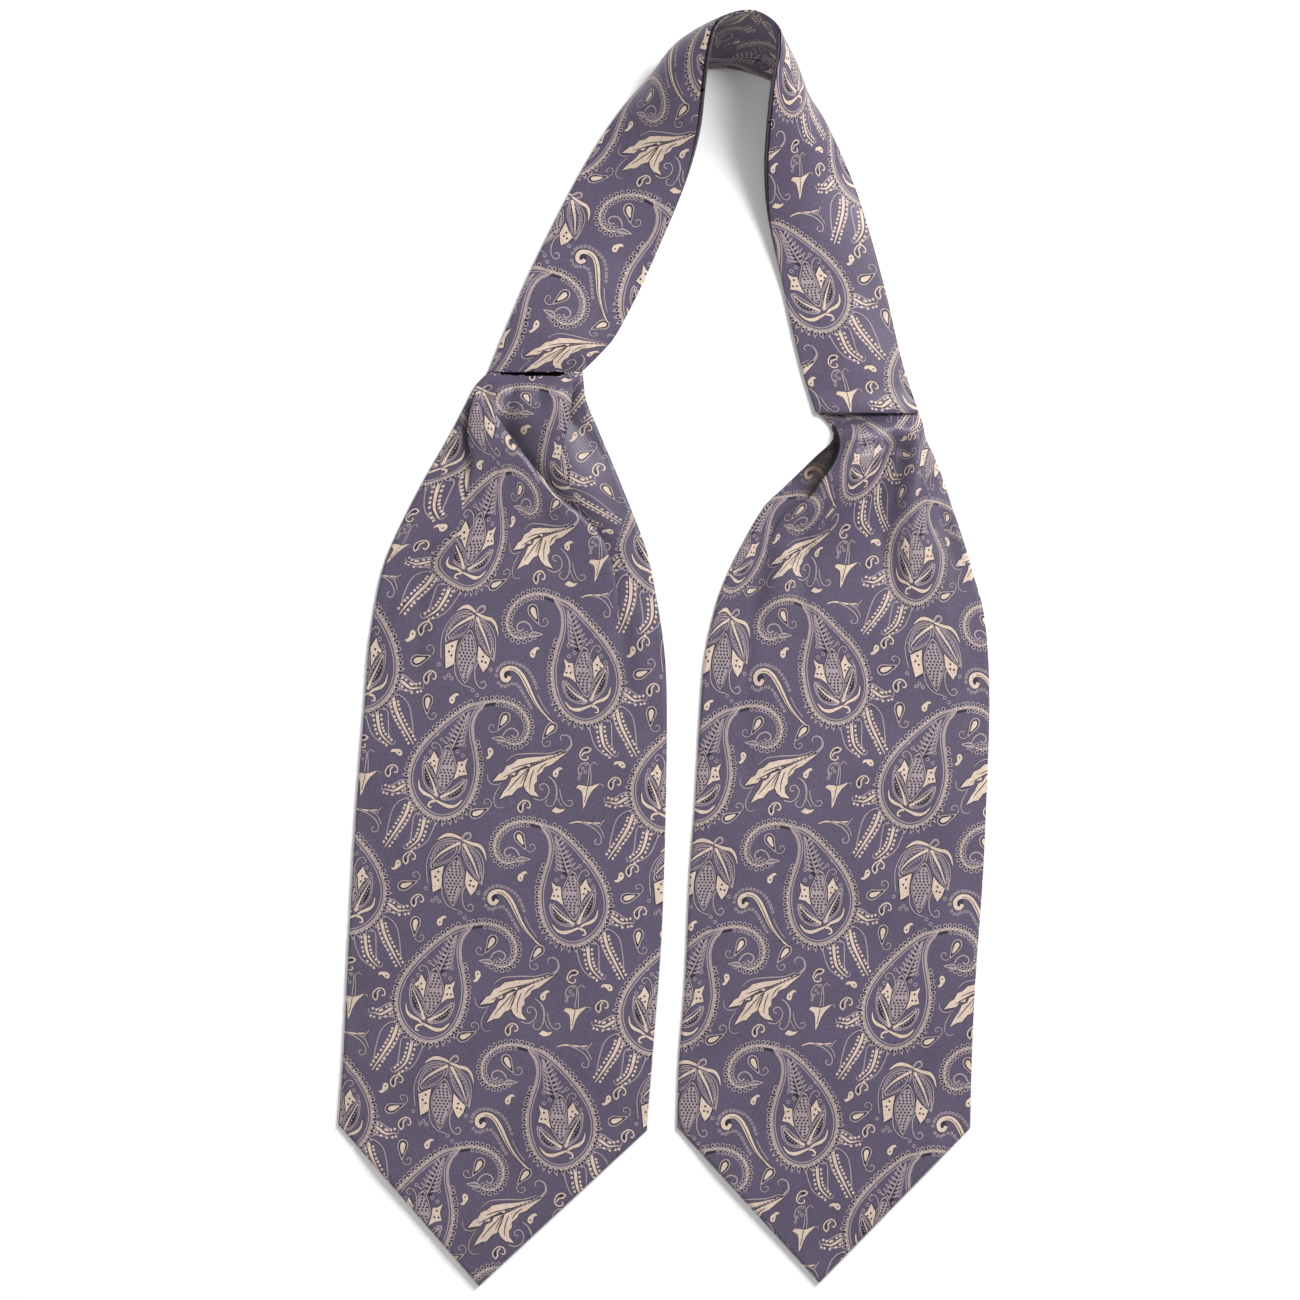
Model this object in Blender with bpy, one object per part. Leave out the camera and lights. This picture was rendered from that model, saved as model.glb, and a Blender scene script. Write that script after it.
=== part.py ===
"""A silk day cravat, laid flat in an upside-down U.

Two wide pointed blades, each a front and a back panel of the same cloth, are pleated
into a narrow neckband. The band is a strip folded lengthwise, so it has two layers. It
lies flat beside the blades, turns up on its fold as it climbs, and stands on edge,
leaning outwards, where it rounds the top.

All tables are in millimetres, seen from above: x to the right, y up the cravat, z up
from the surface that it lies on. Objects are written in metres.
"""
from collections import namedtuple
from math import exp, hypot, pi, sin

import bpy
from mathutils import Vector

MM = 0.001
CLOTH = 1.2             # wall of one layer, silk with its interlining
GAP = 0.3               # between layers, and between pieces at a seam
LAYER = CLOTH + GAP     # height at which the next layer starts
HALF_STACK = CLOTH + GAP / 2

COLUMNS = 16            # cells across a blade
WAIST_LENGTH = 150.0    # pleated length below the band, with closer rows
WAIST_ROW = 5.0
PLAIN_ROW = 17.0
CROWN = 1.6             # softness of a front panel between its seamed edges
CROWN_REACH = 22.0      # from an edge to the full crown
SEAM_REACH = 9.0        # pleats rise from nothing over this length below the band
FADE_LENGTH = 20.0      # over which a pleat starts from nothing
TUCK = 1.2              # how far a pleat's edge hangs over the cloth beside it
SLOPE = 2.5             # how far its foot stands off where the pleat has faded
SPREAD_LENGTH = 80.0    # below a pleat, over which the columns spread out again
CLOSEST = 3.0           # between two columns where pleats crowd them

BladeRow = namedtuple("BladeRow", "y left right")
Pleat = namedtuple("Pleat", "height width foot crest path")
Fold = namedtuple("Fold", "height width path")
Blade = namedtuple("Blade", "name rows tip corner_drop pleats folds")
BandRow = namedtuple("BandRow", "fold_x fold_y edge_x edge_y edge_z bow puff")

# The paths run down the blade. A pleat drops off at its path, from its crest to its
# foot, which are neighbouring columns of the panel. A fold is a soft ridge, or a trough
# where its height is negative.
LEFT_BLADE = Blade(
    name="blade_left",
    rows=[
        BladeRow(140.7, -87.5, -40.7),
        BladeRow(134.0, -94.0, -40.0),
        BladeRow(126.5, -98.0, -39.0),
        BladeRow(110.0, -106.5, -32.2),
        BladeRow(84.5, -121.0, -21.5),
        BladeRow(53.0, -136.5, -9.3),
        BladeRow(36.0, -142.0, -5.3),
        BladeRow(3.0, -147.5, 0.0),
        BladeRow(-23.5, -149.5, 1.4),
        BladeRow(-81.5, -154.0, 0.8),
        BladeRow(-144.5, -157.5, -1.4),
        BladeRow(-205.0, -160.5, -6.0),
        BladeRow(-235.5, -162.8, -8.5),
    ],
    tip=(-92.5, -316.4),
    corner_drop=3.0,
    pleats=[
        Pleat(4.5, 17.0, 2, 3, [(-93, 133), (-97, 120), (-98, 108), (-96, 92), (-101, 70)]),
        Pleat(4.5, 20.0, 9, 8, [(-84, 119), (-73, 103), (-61, 88), (-51, 77), (-39, 67), (-30, 56),
                                (-25, 42), (-23, 26), (-24, 5), (-23, -22)]),
        Pleat(5.5, 15.0, 14, 13, [(-45, 139), (-46.5, 122), (-49.5, 104), (-50, 90)]),
    ],
    folds=[
        Fold(-1.2, 5.0, [(-112, 60), (-120, 32), (-122, 0), (-122, -50)]),
        Fold(2.0, 9.0, [(-68, 134), (-70, 122), (-72, 104)]),
    ],
)

RIGHT_BLADE = Blade(
    name="blade_right",
    rows=[
        BladeRow(120.7, 75.5, 127.0),
        BladeRow(115.0, 82.0, 129.3),
        BladeRow(107.0, 84.5, 131.0),
        BladeRow(98.5, 76.0, 135.0),
        BladeRow(82.5, 59.5, 141.0),
        BladeRow(74.5, 51.0, 143.5),
        BladeRow(57.0, 40.5, 149.5),
        BladeRow(38.0, 31.0, 155.0),
        BladeRow(22.0, 25.5, 159.5),
        BladeRow(-1.5, 20.5, 162.0),
        BladeRow(-31.5, 18.0, 162.6),
        BladeRow(-76.5, 15.5, 161.0),
        BladeRow(-110.0, 13.0, 159.5),
        BladeRow(-166.0, 10.5, 155.5),
        BladeRow(-204.0, 7.5, 153.8),
        BladeRow(-237.0, 6.5, 153.0),
    ],
    tip=(77.5, -314.8),
    corner_drop=0.5,
    pleats=[
        Pleat(8.0, 16.0, 1, 2, [(84, 116), (87.5, 107), (86, 97), (79, 86), (72, 77), (61, 70),
                                (54, 58), (50, 40)]),
    ],
    folds=[
        Fold(-2.6, 6.0, [(118, 105), (116, 90), (113, 73), (110, 59), (113, 36), (112, 22)]),
        Fold(3.4, 8.0, [(127, 112), (128, 98), (130, 80), (126, 60), (125, 30)]),
        Fold(3.6, 13.0, [(98, 116), (100, 100), (97, 80), (96, 50)]),
        Fold(-1.4, 5.0, [(50, 38), (43, 10), (41, -26)]),
    ],
)

# The neckband, from the left seam over the top to the right seam. The fold runs along
# the outside and stays on the surface. The open edge is the one nearer the neck.
BAND_ROWS = [
    BandRow(-87.5, 141.0, -40.7, 141.0, 0.0, 0.0, 1.6),
    BandRow(-79.0, 161.5, -30.5, 151.0, 0.0, 0.0, 2.4),
    BandRow(-68.5, 186.5, -22.5, 161.5, 0.0, 0.0, 1.6),
    BandRow(-56.0, 212.5, -8.0, 190.5, 0.0, 0.0, 1.4),
    BandRow(-41.0, 241.0, 8.0, 229.0, 6.0, 0.5, 1.6),
    BandRow(-26.0, 265.0, 15.5, 256.0, 17.0, 2.0, 2.2),
    BandRow(-12.0, 281.5, 18.5, 278.0, 30.0, 4.0, 3.0),
    BandRow(0.5, 291.0, 21.0, 295.5, 39.0, 5.0, 3.6),
    BandRow(13.0, 292.5, 25.0, 308.5, 42.0, 4.0, 3.2),
    BandRow(22.5, 293.0, 33.0, 313.6, 43.0, 3.0, 1.6),
    BandRow(30.5, 293.0, 42.5, 315.2, 43.0, 2.0, 0.8),
    BandRow(37.0, 292.0, 50.0, 312.5, 43.0, 2.5, 1.6),
    BandRow(44.5, 290.0, 56.0, 306.5, 43.0, 3.5, 3.0),
    BandRow(54.0, 286.5, 56.5, 296.0, 42.0, 5.0, 3.6),
    BandRow(67.5, 280.5, 54.0, 281.0, 38.0, 4.5, 3.0),
    BandRow(78.0, 269.0, 52.3, 262.0, 29.0, 3.0, 2.2),
    BandRow(89.0, 247.5, 51.5, 241.5, 17.0, 1.5, 1.8),
    BandRow(99.0, 222.0, 53.0, 215.5, 7.0, 0.5, 1.5),
    BandRow(110.0, 183.5, 60.0, 180.5, 0.0, 0.0, 1.5),
    BandRow(119.0, 145.5, 68.5, 143.5, 0.0, 0.0, 2.4),
    BandRow(127.0, 121.0, 75.5, 121.0, 0.0, 0.0, 1.4),
]
BAND_CELLS = 6          # across the band
BAND_STEPS = 3          # between two rows of the table
CUT = 0.012             # half the gap between two stretches, as a share of a row
SMALL_STEP = 0.02       # of a row, over which the band's direction is read
INNER_PEEK = 3.0        # how far the under layer shows past the open edge
# The stretches that show, as first and last rows of the table.
STRETCHES = {"left": (0, 6), "neck": (6, 15), "right": (15, 20)}

SILK = {"colour": (0.115, 0.098, 0.162, 1.0), "roughness": 0.42}
SILK_UNDER = {"colour": (0.085, 0.073, 0.120, 1.0), "roughness": 0.5}


def clear_scene():
    for thing in list(bpy.data.objects):
        bpy.data.objects.remove(thing)


def eased(share):
    """0 to 1 with a soft start and end."""
    share = min(max(share, 0.0), 1.0)
    return share * share * (3 - 2 * share)


def curve_value(before, start, end, after, share):
    """A smooth curve through four values, read between the middle two."""
    into = (end - before) / 2
    out_of = (after - start) / 2
    square, cube = share ** 2, share ** 3
    return ((2 * cube - 3 * square + 1) * start + (cube - 2 * square + share) * into
            + (3 * square - 2 * cube) * end + (cube - square) * out_of)


def read_row(rows, place):
    """All the columns of a table at a place between its rows."""
    last = len(rows) - 1
    first = min(int(place), last - 1)
    near = [rows[min(max(index, 0), last)] for index in range(first - 1, first + 3)]
    values = [curve_value(*column, place - first) for column in zip(*near)]
    return type(rows[0])(*values)


def edge_slope(rows, index, column):
    """How an edge leans at a row, from the rows beside it."""
    above, below = rows[max(index - 1, 0)], rows[min(index + 1, len(rows) - 1)]
    return (getattr(above, column) - getattr(below, column)) / (above.y - below.y)


def blade_edge(rows, y, column):
    """The left or right edge of a blade at a height."""
    index = max(sum(row.y > y for row in rows[:-1]) - 1, 0)
    upper, lower = rows[index], rows[index + 1]
    reach = lower.y - upper.y
    start, end = getattr(upper, column), getattr(lower, column)
    before = end - 2 * reach * edge_slope(rows, index, column)
    after = start + 2 * reach * edge_slope(rows, index + 1, column)
    return curve_value(before, start, end, after, (y - upper.y) / reach)


def blade_heights(rows):
    """The heights of the rows of cells, close in the waist and wider below."""
    top, corners = rows[0].y, rows[-1].y
    waist_rows = round(WAIST_LENGTH / WAIST_ROW)
    waist_end = top - WAIST_LENGTH
    plain_rows = round((waist_end - corners) / PLAIN_ROW)
    waist = [top - WAIST_LENGTH * step / waist_rows for step in range(waist_rows)]
    plain = [waist_end + (corners - waist_end) * step / plain_rows for step in range(plain_rows + 1)]
    return waist + plain


def place_on_path(path, x, y):
    """How far a point lies from a path, and the length walked to the nearest place."""
    best, walked, before = None, 0.0, 0.0
    for (ax, ay), (bx, by) in zip(path, path[1:]):
        length = hypot(bx - ax, by - ay)
        along = ((x - ax) * (bx - ax) + (y - ay) * (by - ay)) / length
        held = min(max(along, 0.0), length)
        distance = hypot(x - ax - (bx - ax) * held / length, y - ay - (by - ay) * held / length)
        if best is None or distance < best:
            best, walked = distance, before + held
        before += length
    return best, walked, before


def crease_height(crease, x, y):
    """Height of a pleat's high side, or of a fold, at a point."""
    distance, walked, length = place_on_path(crease.path, x, y)
    strength = eased((1 - walked / length) * 1.25) * eased(walked / FADE_LENGTH + 0.1)
    return crease.height * strength * exp(-(distance / crease.width) ** 2)


def panel_height(blade, x, y, column, side_room):
    """Height of a front panel above the layer under it."""
    crown = CROWN * eased(side_room / CROWN_REACH)
    below_seam = eased((blade.rows[0].y - y) / SEAM_REACH)
    raised = [pleat for pleat in blade.pleats
              if (column - pleat.crest) * (pleat.crest - pleat.foot) >= 0]
    creases = sum(crease_height(crease, x, y) for crease in raised + blade.folds)
    edge_hold = eased(side_room / 4.0 + 0.25)
    return max((crown + creases * edge_hold) * below_seam, 0.0)


def plain_shares(blade):
    """Shares across the plain part of a blade, with one column on its tip."""
    left, right = blade.rows[-1].left, blade.rows[-1].right
    tip_share = (blade.tip[0] - left) / (right - left)
    tip_column = round(COLUMNS * tip_share)
    beyond = COLUMNS - tip_column
    shares = [tip_share * column / tip_column for column in range(tip_column)]
    shares += [tip_share + (1 - tip_share) * column / beyond for column in range(beyond + 1)]
    return shares, tip_share


def path_x(path, y):
    """Where a path crosses a height, held at its ends."""
    y = min(max(y, path[-1][1]), path[0][1])
    for (ax, ay), (bx, by) in zip(path, path[1:]):
        if y >= by:
            return ax + (bx - ax) * (ay - y) / (ay - by)


def pleat_share(blade, pleat, y):
    """Where a pleat lies across the blade at a height, held beyond its two ends."""
    held_y = min(max(y, pleat.path[-1][1]), pleat.path[0][1])
    left, right = (blade_edge(blade.rows, held_y, side) for side in ("left", "right"))
    return (path_x(pleat.path, held_y) - left) / (right - left)


def pinned_columns(blade, y, left, right, plain):
    """The columns that pleats hold at a height, with their shares across the blade."""
    width = right - left
    pins = {0: 0.0, COLUMNS: 1.0}
    share, column = 0.0, 0
    for pleat in blade.pleats:
        freed = eased((pleat.path[-1][1] - y) / SPREAD_LENGTH)
        near, far = sorted((pleat.foot, pleat.crest))
        middle = (plain[near] + plain[far]) / 2
        wanted = pleat_share(blade, pleat, y) * (1 - freed) + middle * freed
        share, column = max(wanted, share + CLOSEST * (near - column) / width), far
        strength = crease_height(pleat, path_x(pleat.path, y), y) / pleat.height
        high_side = 1 if pleat.crest > pleat.foot else -1
        reach = (TUCK * strength - SLOPE * (1 - strength)) * high_side / width
        pins[pleat.crest] = share + (plain[pleat.crest] - middle) * freed
        pins[pleat.foot] = share + reach * (1 - freed) + (plain[pleat.foot] - middle) * freed
    return sorted(pins.items())


def blade_plan(blade):
    """Rows of plan points. The rows bend down towards the pointed end."""
    plain, tip_share = plain_shares(blade)
    corners = blade.rows[-1].y
    bend_start = corners + 150.0
    full_dip = corners - blade.tip[1]
    grid = []
    for y in blade_heights(blade.rows):
        left, right = (blade_edge(blade.rows, y, side) for side in ("left", "right"))
        pins = pinned_columns(blade, y, left, right, plain)
        bend = max((bend_start - y) / (bend_start - corners), 0.0) ** 1.5
        row = []
        for (first, start), (last, end) in zip(pins, pins[1:]):
            for column in range(first, last + (last == COLUMNS)):
                plain_step = (plain[column] - plain[first]) / (plain[last] - plain[first])
                share = start + (end - start) * plain_step
                reach = share / tip_share if share <= tip_share else (1 - share) / (1 - tip_share)
                drop = blade.corner_drop * share * (1 - reach) + full_dip * reach
                side_room = min(share, 1 - share) * (right - left)
                row.append((left + (right - left) * share, y - drop * bend, side_room))
        grid.append(row)
    return grid


def grid_normals(grid):
    """Smooth normals of a grid of points, on the side where rows cross columns upwards."""
    rows, columns = len(grid), len(grid[0])
    normals = []
    for r in range(rows):
        row = []
        for c in range(columns):
            down = grid[min(r + 1, rows - 1)][c] - grid[max(r - 1, 0)][c]
            across = grid[r][min(c + 1, columns - 1)] - grid[r][max(c - 1, 0)]
            row.append(down.cross(across).normalized())
        normals.append(row)
    return normals


def cloth_wall(name, lower, upper, silk):
    """One closed wall between two grids of points, in millimetres."""
    rows, columns = len(lower), len(lower[0])
    points = [point * MM for grid in (lower, upper) for row in grid for point in row]
    upper_start = rows * columns

    def corner(r, c, layer):
        return layer * upper_start + r * columns + c

    faces = []
    for r in range(rows - 1):
        for c in range(columns - 1):
            ring = [(r, c), (r + 1, c), (r + 1, c + 1), (r, c + 1)]
            spans = [lower[a[0]][a[1]] - lower[b[0]][b[1]] for a, b in (ring[::2], ring[1::2])]
            if spans[0].length > spans[1].length:
                ring = ring[1:] + ring[:1]
            for half in (ring[:3], [ring[2], ring[3], ring[0]]):
                faces.append([corner(*spot, 1) for spot in half])
                faces.append([corner(*spot, 0) for spot in reversed(half)])
    rim = [(r, 0) for r in range(rows)] + [(rows - 1, c) for c in range(1, columns)]
    rim += [(r, columns - 1) for r in range(rows - 2, -1, -1)] + [(0, c) for c in range(columns - 2, 0, -1)]
    for start, end in zip(rim, rim[1:] + rim[:1]):
        faces.append([corner(*start, 0), corner(*end, 0), corner(*end, 1), corner(*start, 1)])
    mesh = bpy.data.meshes.new(name)
    mesh.from_pydata(points, [], faces)
    mesh.validate()
    mesh.shade_smooth()
    mesh.set_sharp_from_angle(angle=0.9)
    mesh.materials.append(silk)
    piece = bpy.data.objects.new(name, mesh)
    bpy.context.collection.objects.link(piece)
    return piece


def silk_material(name, look):
    silk = bpy.data.materials.new(name)
    silk.use_nodes = True
    shader = silk.node_tree.nodes["Principled BSDF"]
    shader.inputs["Base Color"].default_value = look["colour"]
    shader.inputs["Roughness"].default_value = look["roughness"]
    shader.inputs["Metallic"].default_value = 0.0
    return silk


def blade_front(blade, silk):
    plan = blade_plan(blade)
    lower = [[Vector((x, y, LAYER + panel_height(blade, x, y, column, room)))
              for column, (x, y, room) in enumerate(row)] for row in plan]
    normals = grid_normals(lower)
    normals[0] = [Vector((0, 0, 1))] * len(lower[0])
    upper = [[point + normal * CLOTH for point, normal in zip(*rows)] for rows in zip(lower, normals)]
    return cloth_wall(blade.name + "_front", lower, upper, silk)


def blade_back(blade, silk):
    """The back panel is flat, so it needs only the outline's own rows."""
    plan = blade_plan(blade)
    first_plain = round(WAIST_LENGTH / WAIST_ROW)
    plan = plan[:first_plain:2] + plan[first_plain:]
    tip_column = max(range(len(plan[-1])), key=lambda column: -plan[-1][column][1])
    plan = [[row[0], row[tip_column], row[-1]] for row in plan]
    lower = [[Vector((x, y, 0.0)) for x, y, _ in row] for row in plan]
    upper = [[point + Vector((0, 0, CLOTH)) for point in row] for row in lower]
    return cloth_wall(blade.name + "_back", lower, upper, silk)


def band_middle(place, across):
    """A point midway between the band's layers, before it is set on the surface."""
    row = read_row(BAND_ROWS, place)
    fold = Vector((row.fold_x, row.fold_y, 0.0))
    edge = Vector((row.edge_x, row.edge_y, max(row.edge_z, 0.0)))
    return fold.lerp(edge, across)


def band_normal(place, across):
    """Out of the band's outer face, upwards where it lies flat."""
    before, after = max(place - SMALL_STEP, 0.0), min(place + SMALL_STEP, len(BAND_ROWS) - 1)
    along = band_middle(after, across) - band_middle(before, across)
    width = band_middle(place, 1.0) - band_middle(place, 0.0)
    return width.cross(along).normalized()


def band_section(place, outer):
    """The lower points of one layer across the band, and the same points moved out."""
    row = read_row(BAND_ROWS, place)
    open_width = (band_middle(place, 1.0) - band_middle(place, 0.0)).length
    reach = 1.0 if outer else 1 + INNER_PEEK / open_width
    rest = HALF_STACK * abs(band_normal(place, 0.0).z)
    lower, upper = [], []
    for cell in range(BAND_CELLS, -1, -1):
        across = cell / BAND_CELLS * reach
        normal = band_normal(place, across)
        rise = row.bow * sin(pi * across)
        rise += GAP / 2 + row.puff * sin(pi * across) if outer else -HALF_STACK
        low = band_middle(place, across) + Vector((0, 0, rest)) + normal * rise
        low.z = max(low.z, 0.0)
        lower.append(low)
        upper.append(low + normal * CLOTH)
    return lower, upper


def band_stretch(stretch, layer, silk):
    """One layer of one stretch, clear of the next stretch but not of the blade's seam."""
    first, last = STRETCHES[stretch]
    start = first + (CUT if first > 0 else 0.0)
    end = last - (CUT if last < len(BAND_ROWS) - 1 else 0.0)
    steps = (last - first) * BAND_STEPS
    places = [start + (end - start) * step / steps for step in range(steps + 1)]
    sections = [band_section(place, layer == "outer") for place in places]
    lower, upper = zip(*sections)
    return cloth_wall("band_%s_%s" % (stretch, layer), lower, upper, silk)


clear_scene()
face_silk = silk_material("paisley_silk", SILK)
under_silk = silk_material("paisley_silk_under", SILK_UNDER)
for side in (LEFT_BLADE, RIGHT_BLADE):
    blade_front(side, face_silk)
    blade_back(side, under_silk)
for stretch_name in STRETCHES:
    band_stretch(stretch_name, "outer", face_silk)
    band_stretch(stretch_name, "inner", under_silk)
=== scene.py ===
"""A silk day cravat laid flat in an upside-down U, woven with a paisley repeat.

The cloth's repeat is drawn once in millimetres, then laid on every cut piece in that
piece's own direction, so that the marks are part of the mesh and follow its folds.
Tables are in millimetres, seen from above, and objects are written in metres.
"""
from collections import namedtuple
from math import atan2, cos, hypot, pi, radians, sin

import bpy
import numpy as np
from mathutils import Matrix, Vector
from mathutils.geometry import delaunay_2d_cdt


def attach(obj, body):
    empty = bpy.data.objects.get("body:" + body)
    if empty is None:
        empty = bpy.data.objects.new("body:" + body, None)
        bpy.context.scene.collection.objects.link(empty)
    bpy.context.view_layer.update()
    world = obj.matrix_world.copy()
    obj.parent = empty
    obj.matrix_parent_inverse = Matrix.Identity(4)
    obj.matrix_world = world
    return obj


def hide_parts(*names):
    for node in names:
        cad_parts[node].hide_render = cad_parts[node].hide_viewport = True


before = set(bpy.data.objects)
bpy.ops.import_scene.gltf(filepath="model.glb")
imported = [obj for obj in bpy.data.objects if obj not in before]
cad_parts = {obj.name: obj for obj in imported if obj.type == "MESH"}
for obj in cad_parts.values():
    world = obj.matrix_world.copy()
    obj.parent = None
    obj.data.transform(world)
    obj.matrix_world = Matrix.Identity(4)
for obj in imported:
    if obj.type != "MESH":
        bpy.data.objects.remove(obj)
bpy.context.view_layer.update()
bpy.ops.object.select_all(action="DESELECT")

# The cloth. A jacquard silk with a satin ground: the weft comes up in four tones to
# make paisleys, leaves and small drops. One repeat is a square, and holds a paisley
# with its hook, the same paisley mirrored lower down, and the flowers between them.
REPEAT = 111.5
# SHADOW is the darkest weft tone of the figures; the pleats' risers also take it as painted shade.
GROUND, SHADOW, LINE, BAND, CREAM, REVERSE = 0, 1, 2, 3, 4, 5


def smooth_path(points, step=1.2, closed=False):
    """Points about one step apart on a smooth curve through the given ones."""
    count = len(points)
    path = []
    for index in range(count if closed else count - 1):
        if closed:
            near = [points[(index + k) % count] for k in (-1, 0, 1, 2)]
        else:
            near = [points[min(max(index + k, 0), count - 1)] for k in (-1, 0, 1, 2)]
        (ax, ay), (bx, by), (cx, cy), (dx, dy) = near
        steps = max(round(hypot(cx - bx, cy - by) / step), 1)
        for k in range(steps):
            t = k / steps
            weights = ((-t + 2 * t * t - t ** 3) / 2, (2 - 5 * t * t + 3 * t ** 3) / 2,
                       (t + 4 * t * t - 3 * t ** 3) / 2, (t ** 3 - t * t) / 2)
            path.append((ax * weights[0] + bx * weights[1] + cx * weights[2] + dx * weights[3],
                         ay * weights[0] + by * weights[1] + cy * weights[2] + dy * weights[3]))
    if not closed:
        path.append(points[-1])
    return path


def side_of(path, index, closed):
    """The unit direction to the left of a path at one of its points."""
    last = len(path) - 1
    (ax, ay), (bx, by) = ((path[index - 1], path[(index + 1) % len(path)]) if closed
                          else (path[max(index - 1, 0)], path[min(index + 1, last)]))
    length = hypot(bx - ax, by - ay) or 1.0
    return -(by - ay) / length, (bx - ax) / length


class Drawing:
    """Marks of the weave in the order in which they lie on each other: (tone, corners)."""
    def __init__(self):
        self.marks = []

    def line(self, points, width, tone=LINE, step=1.2, closed=False, offset=0.0, shade=0.0):
        """A ribbon along a smooth path, with a darker margin as wide as shade on each side.

        Its width is one number, or start, middle and end.
        """
        if shade:
            margin = tuple(w + 2 * shade for w in width) if isinstance(width, tuple) else width + 2 * shade
            self.line(points, margin, SHADOW, step, closed, offset)
        path = smooth_path(points, step, closed)
        widths = width if isinstance(width, tuple) else (width, width, width)
        total = len(path) if closed else len(path) - 1
        pairs = []
        for index, (x, y) in enumerate(path):
            along = index / max(total, 1)
            half = (widths[0] + (widths[1] - widths[0]) * 2 * along if along < 0.5
                    else widths[1] + (widths[2] - widths[1]) * (2 * along - 1)) / 2
            nx, ny = side_of(path, index, closed)
            pairs.append(((x + nx * (offset + half), y + ny * (offset + half)),
                          (x + nx * (offset - half), y + ny * (offset - half))))
        if closed:
            pairs.append(pairs[0])
        for (a, b), (c, d) in zip(pairs, pairs[1:]):
            # on a tight curve the inner corners may pass each other, so they are put in order
            x, y = (a[0] + b[0] + c[0] + d[0]) / 4, (a[1] + b[1] + c[1] + d[1]) / 4
            self.marks.append((tone, sorted((a, b, c, d), key=lambda spot: atan2(spot[1] - y, spot[0] - x))))

    def patch(self, points, tone=CREAM, step=1.2, smooth=True, shade=0.0):
        """A filled shape."""
        ring = smooth_path(points, step, True) if smooth else list(points)
        if shade:
            self.line(points, 2 * shade, SHADOW, step, True)
        self.marks.append((tone, ring))

    def nested(self, points, layers, step=2.2):
        """A filled shape in itself again and again: each layer is a size and a tone."""
        ring = smooth_path(points, step, True)
        middle = [sum(spot[k] for spot in ring) / len(ring) for k in (0, 1)]
        for size, tone in layers:
            self.marks.append((tone, [tuple(c + (v - c) * size for v, c in zip(spot, middle)) for spot in ring]))

    def dot(self, x, y, radius, tone=CREAM, corners=None):
        corners = corners or (5 if radius > 0.5 else 4)
        self.marks.append((tone, [(x + radius * cos(2 * pi * k / corners),
                                   y + radius * sin(2 * pi * k / corners)) for k in range(corners)]))

    def loop(self, x, y, radius, tone=LINE):
        """A small ring with a dark hole."""
        self.dot(x, y, radius, tone, 6)
        self.dot(x, y, radius - 0.45, SHADOW, 4)

    def row(self, points, gap, radius, tone=CREAM, offset=0.0, skip=0.0, looped=False):
        """Dots, or small loops, in a row beside a path."""
        path = smooth_path(points, 0.5)
        walked, wanted = 0.0, skip
        for index in range(1, len(path)):
            (ax, ay), (bx, by) = path[index - 1], path[index]
            walked += hypot(bx - ax, by - ay)
            if walked >= wanted:
                nx, ny = side_of(path, index, False)
                (self.loop if looped else self.dot)(bx + nx * offset, by + ny * offset, radius, tone)
                wanted += gap

    def lattice(self, ring, tone, pitch=(1.9, 1.5), radius=0.68):
        """Small diamonds all over a shape."""
        count = len(ring)
        for row in range(40):
            y = max(y for x, y in ring) - pitch[1] * (row + 1)
            crossings = sorted(ax + (bx - ax) * (y - ay) / (by - ay)
                               for (ax, ay), (bx, by) in ((ring[k], ring[(k + 1) % count]) for k in range(count))
                               if (ay - y) * (by - y) < 0)
            if len(crossings) < 2:
                continue
            x = crossings[0] + 1.0 + (row % 2) * pitch[0] / 2
            while x < crossings[-1] - 0.8:
                self.dot(x, y, radius, tone, 4)
                x += pitch[0]

    def add(self, other, turn=0.0, size=1.0, mirrored=False, to=(0.0, 0.0)):
        """Another drawing, mirrored left to right, turned about 0,0 by degrees, sized and moved."""
        c, s = cos(radians(turn)) * size, sin(radians(turn)) * size
        for tone, ring in other.marks:
            placed = []
            for x, y in ring:
                x = -x if mirrored else x
                placed.append((x * c - y * s + to[0], x * s + y * c + to[1]))
            self.marks.append((tone, placed))


# Small drops: a teardrop with a curled tail, a solid comma and an open curl.
teardrop = Drawing()
teardrop.line([(0.3, -6.4), (1.3, -8.6), (3.4, -9.4), (5.3, -8.3), (5.2, -6.2), (3.6, -5.7), (3.2, -7.0)], 0.6, step=0.9,
              shade=0.3)
teardrop.patch([(0.5, -7.6), (-1.7, -3.6), (-2.9, 0.0), (-2.0, 3.0), (0.2, 3.9), (2.4, 2.6), (3.0, 0.0), (2.0, -3.0)], LINE,
               shade=0.3)
teardrop.patch([(0.4, -6.2), (-1.2, -3.2), (-2.2, 0.0), (-1.4, 2.4), (0.2, 3.2), (1.8, 2.1), (2.3, 0.0), (1.4, -3.0)], SHADOW)
teardrop.patch([(0.3, -4.4), (-1.2, -0.9), (-1.0, 1.4), (0.2, 2.2), (1.3, 1.2), (1.2, -1.0)])

comma = Drawing()
comma.patch([(0.0, -1.8), (-1.3, -0.9), (-1.2, 1.0), (-0.1, 2.0), (1.0, 2.8), (2.2, 2.9), (2.8, 1.9), (2.0, 1.9),
             (1.2, 1.3), (1.1, 0.2), (0.9, -1.1)], step=1.0, shade=0.25)
comma.dot(-0.1, -0.2, 0.42, SHADOW, 5)

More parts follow.
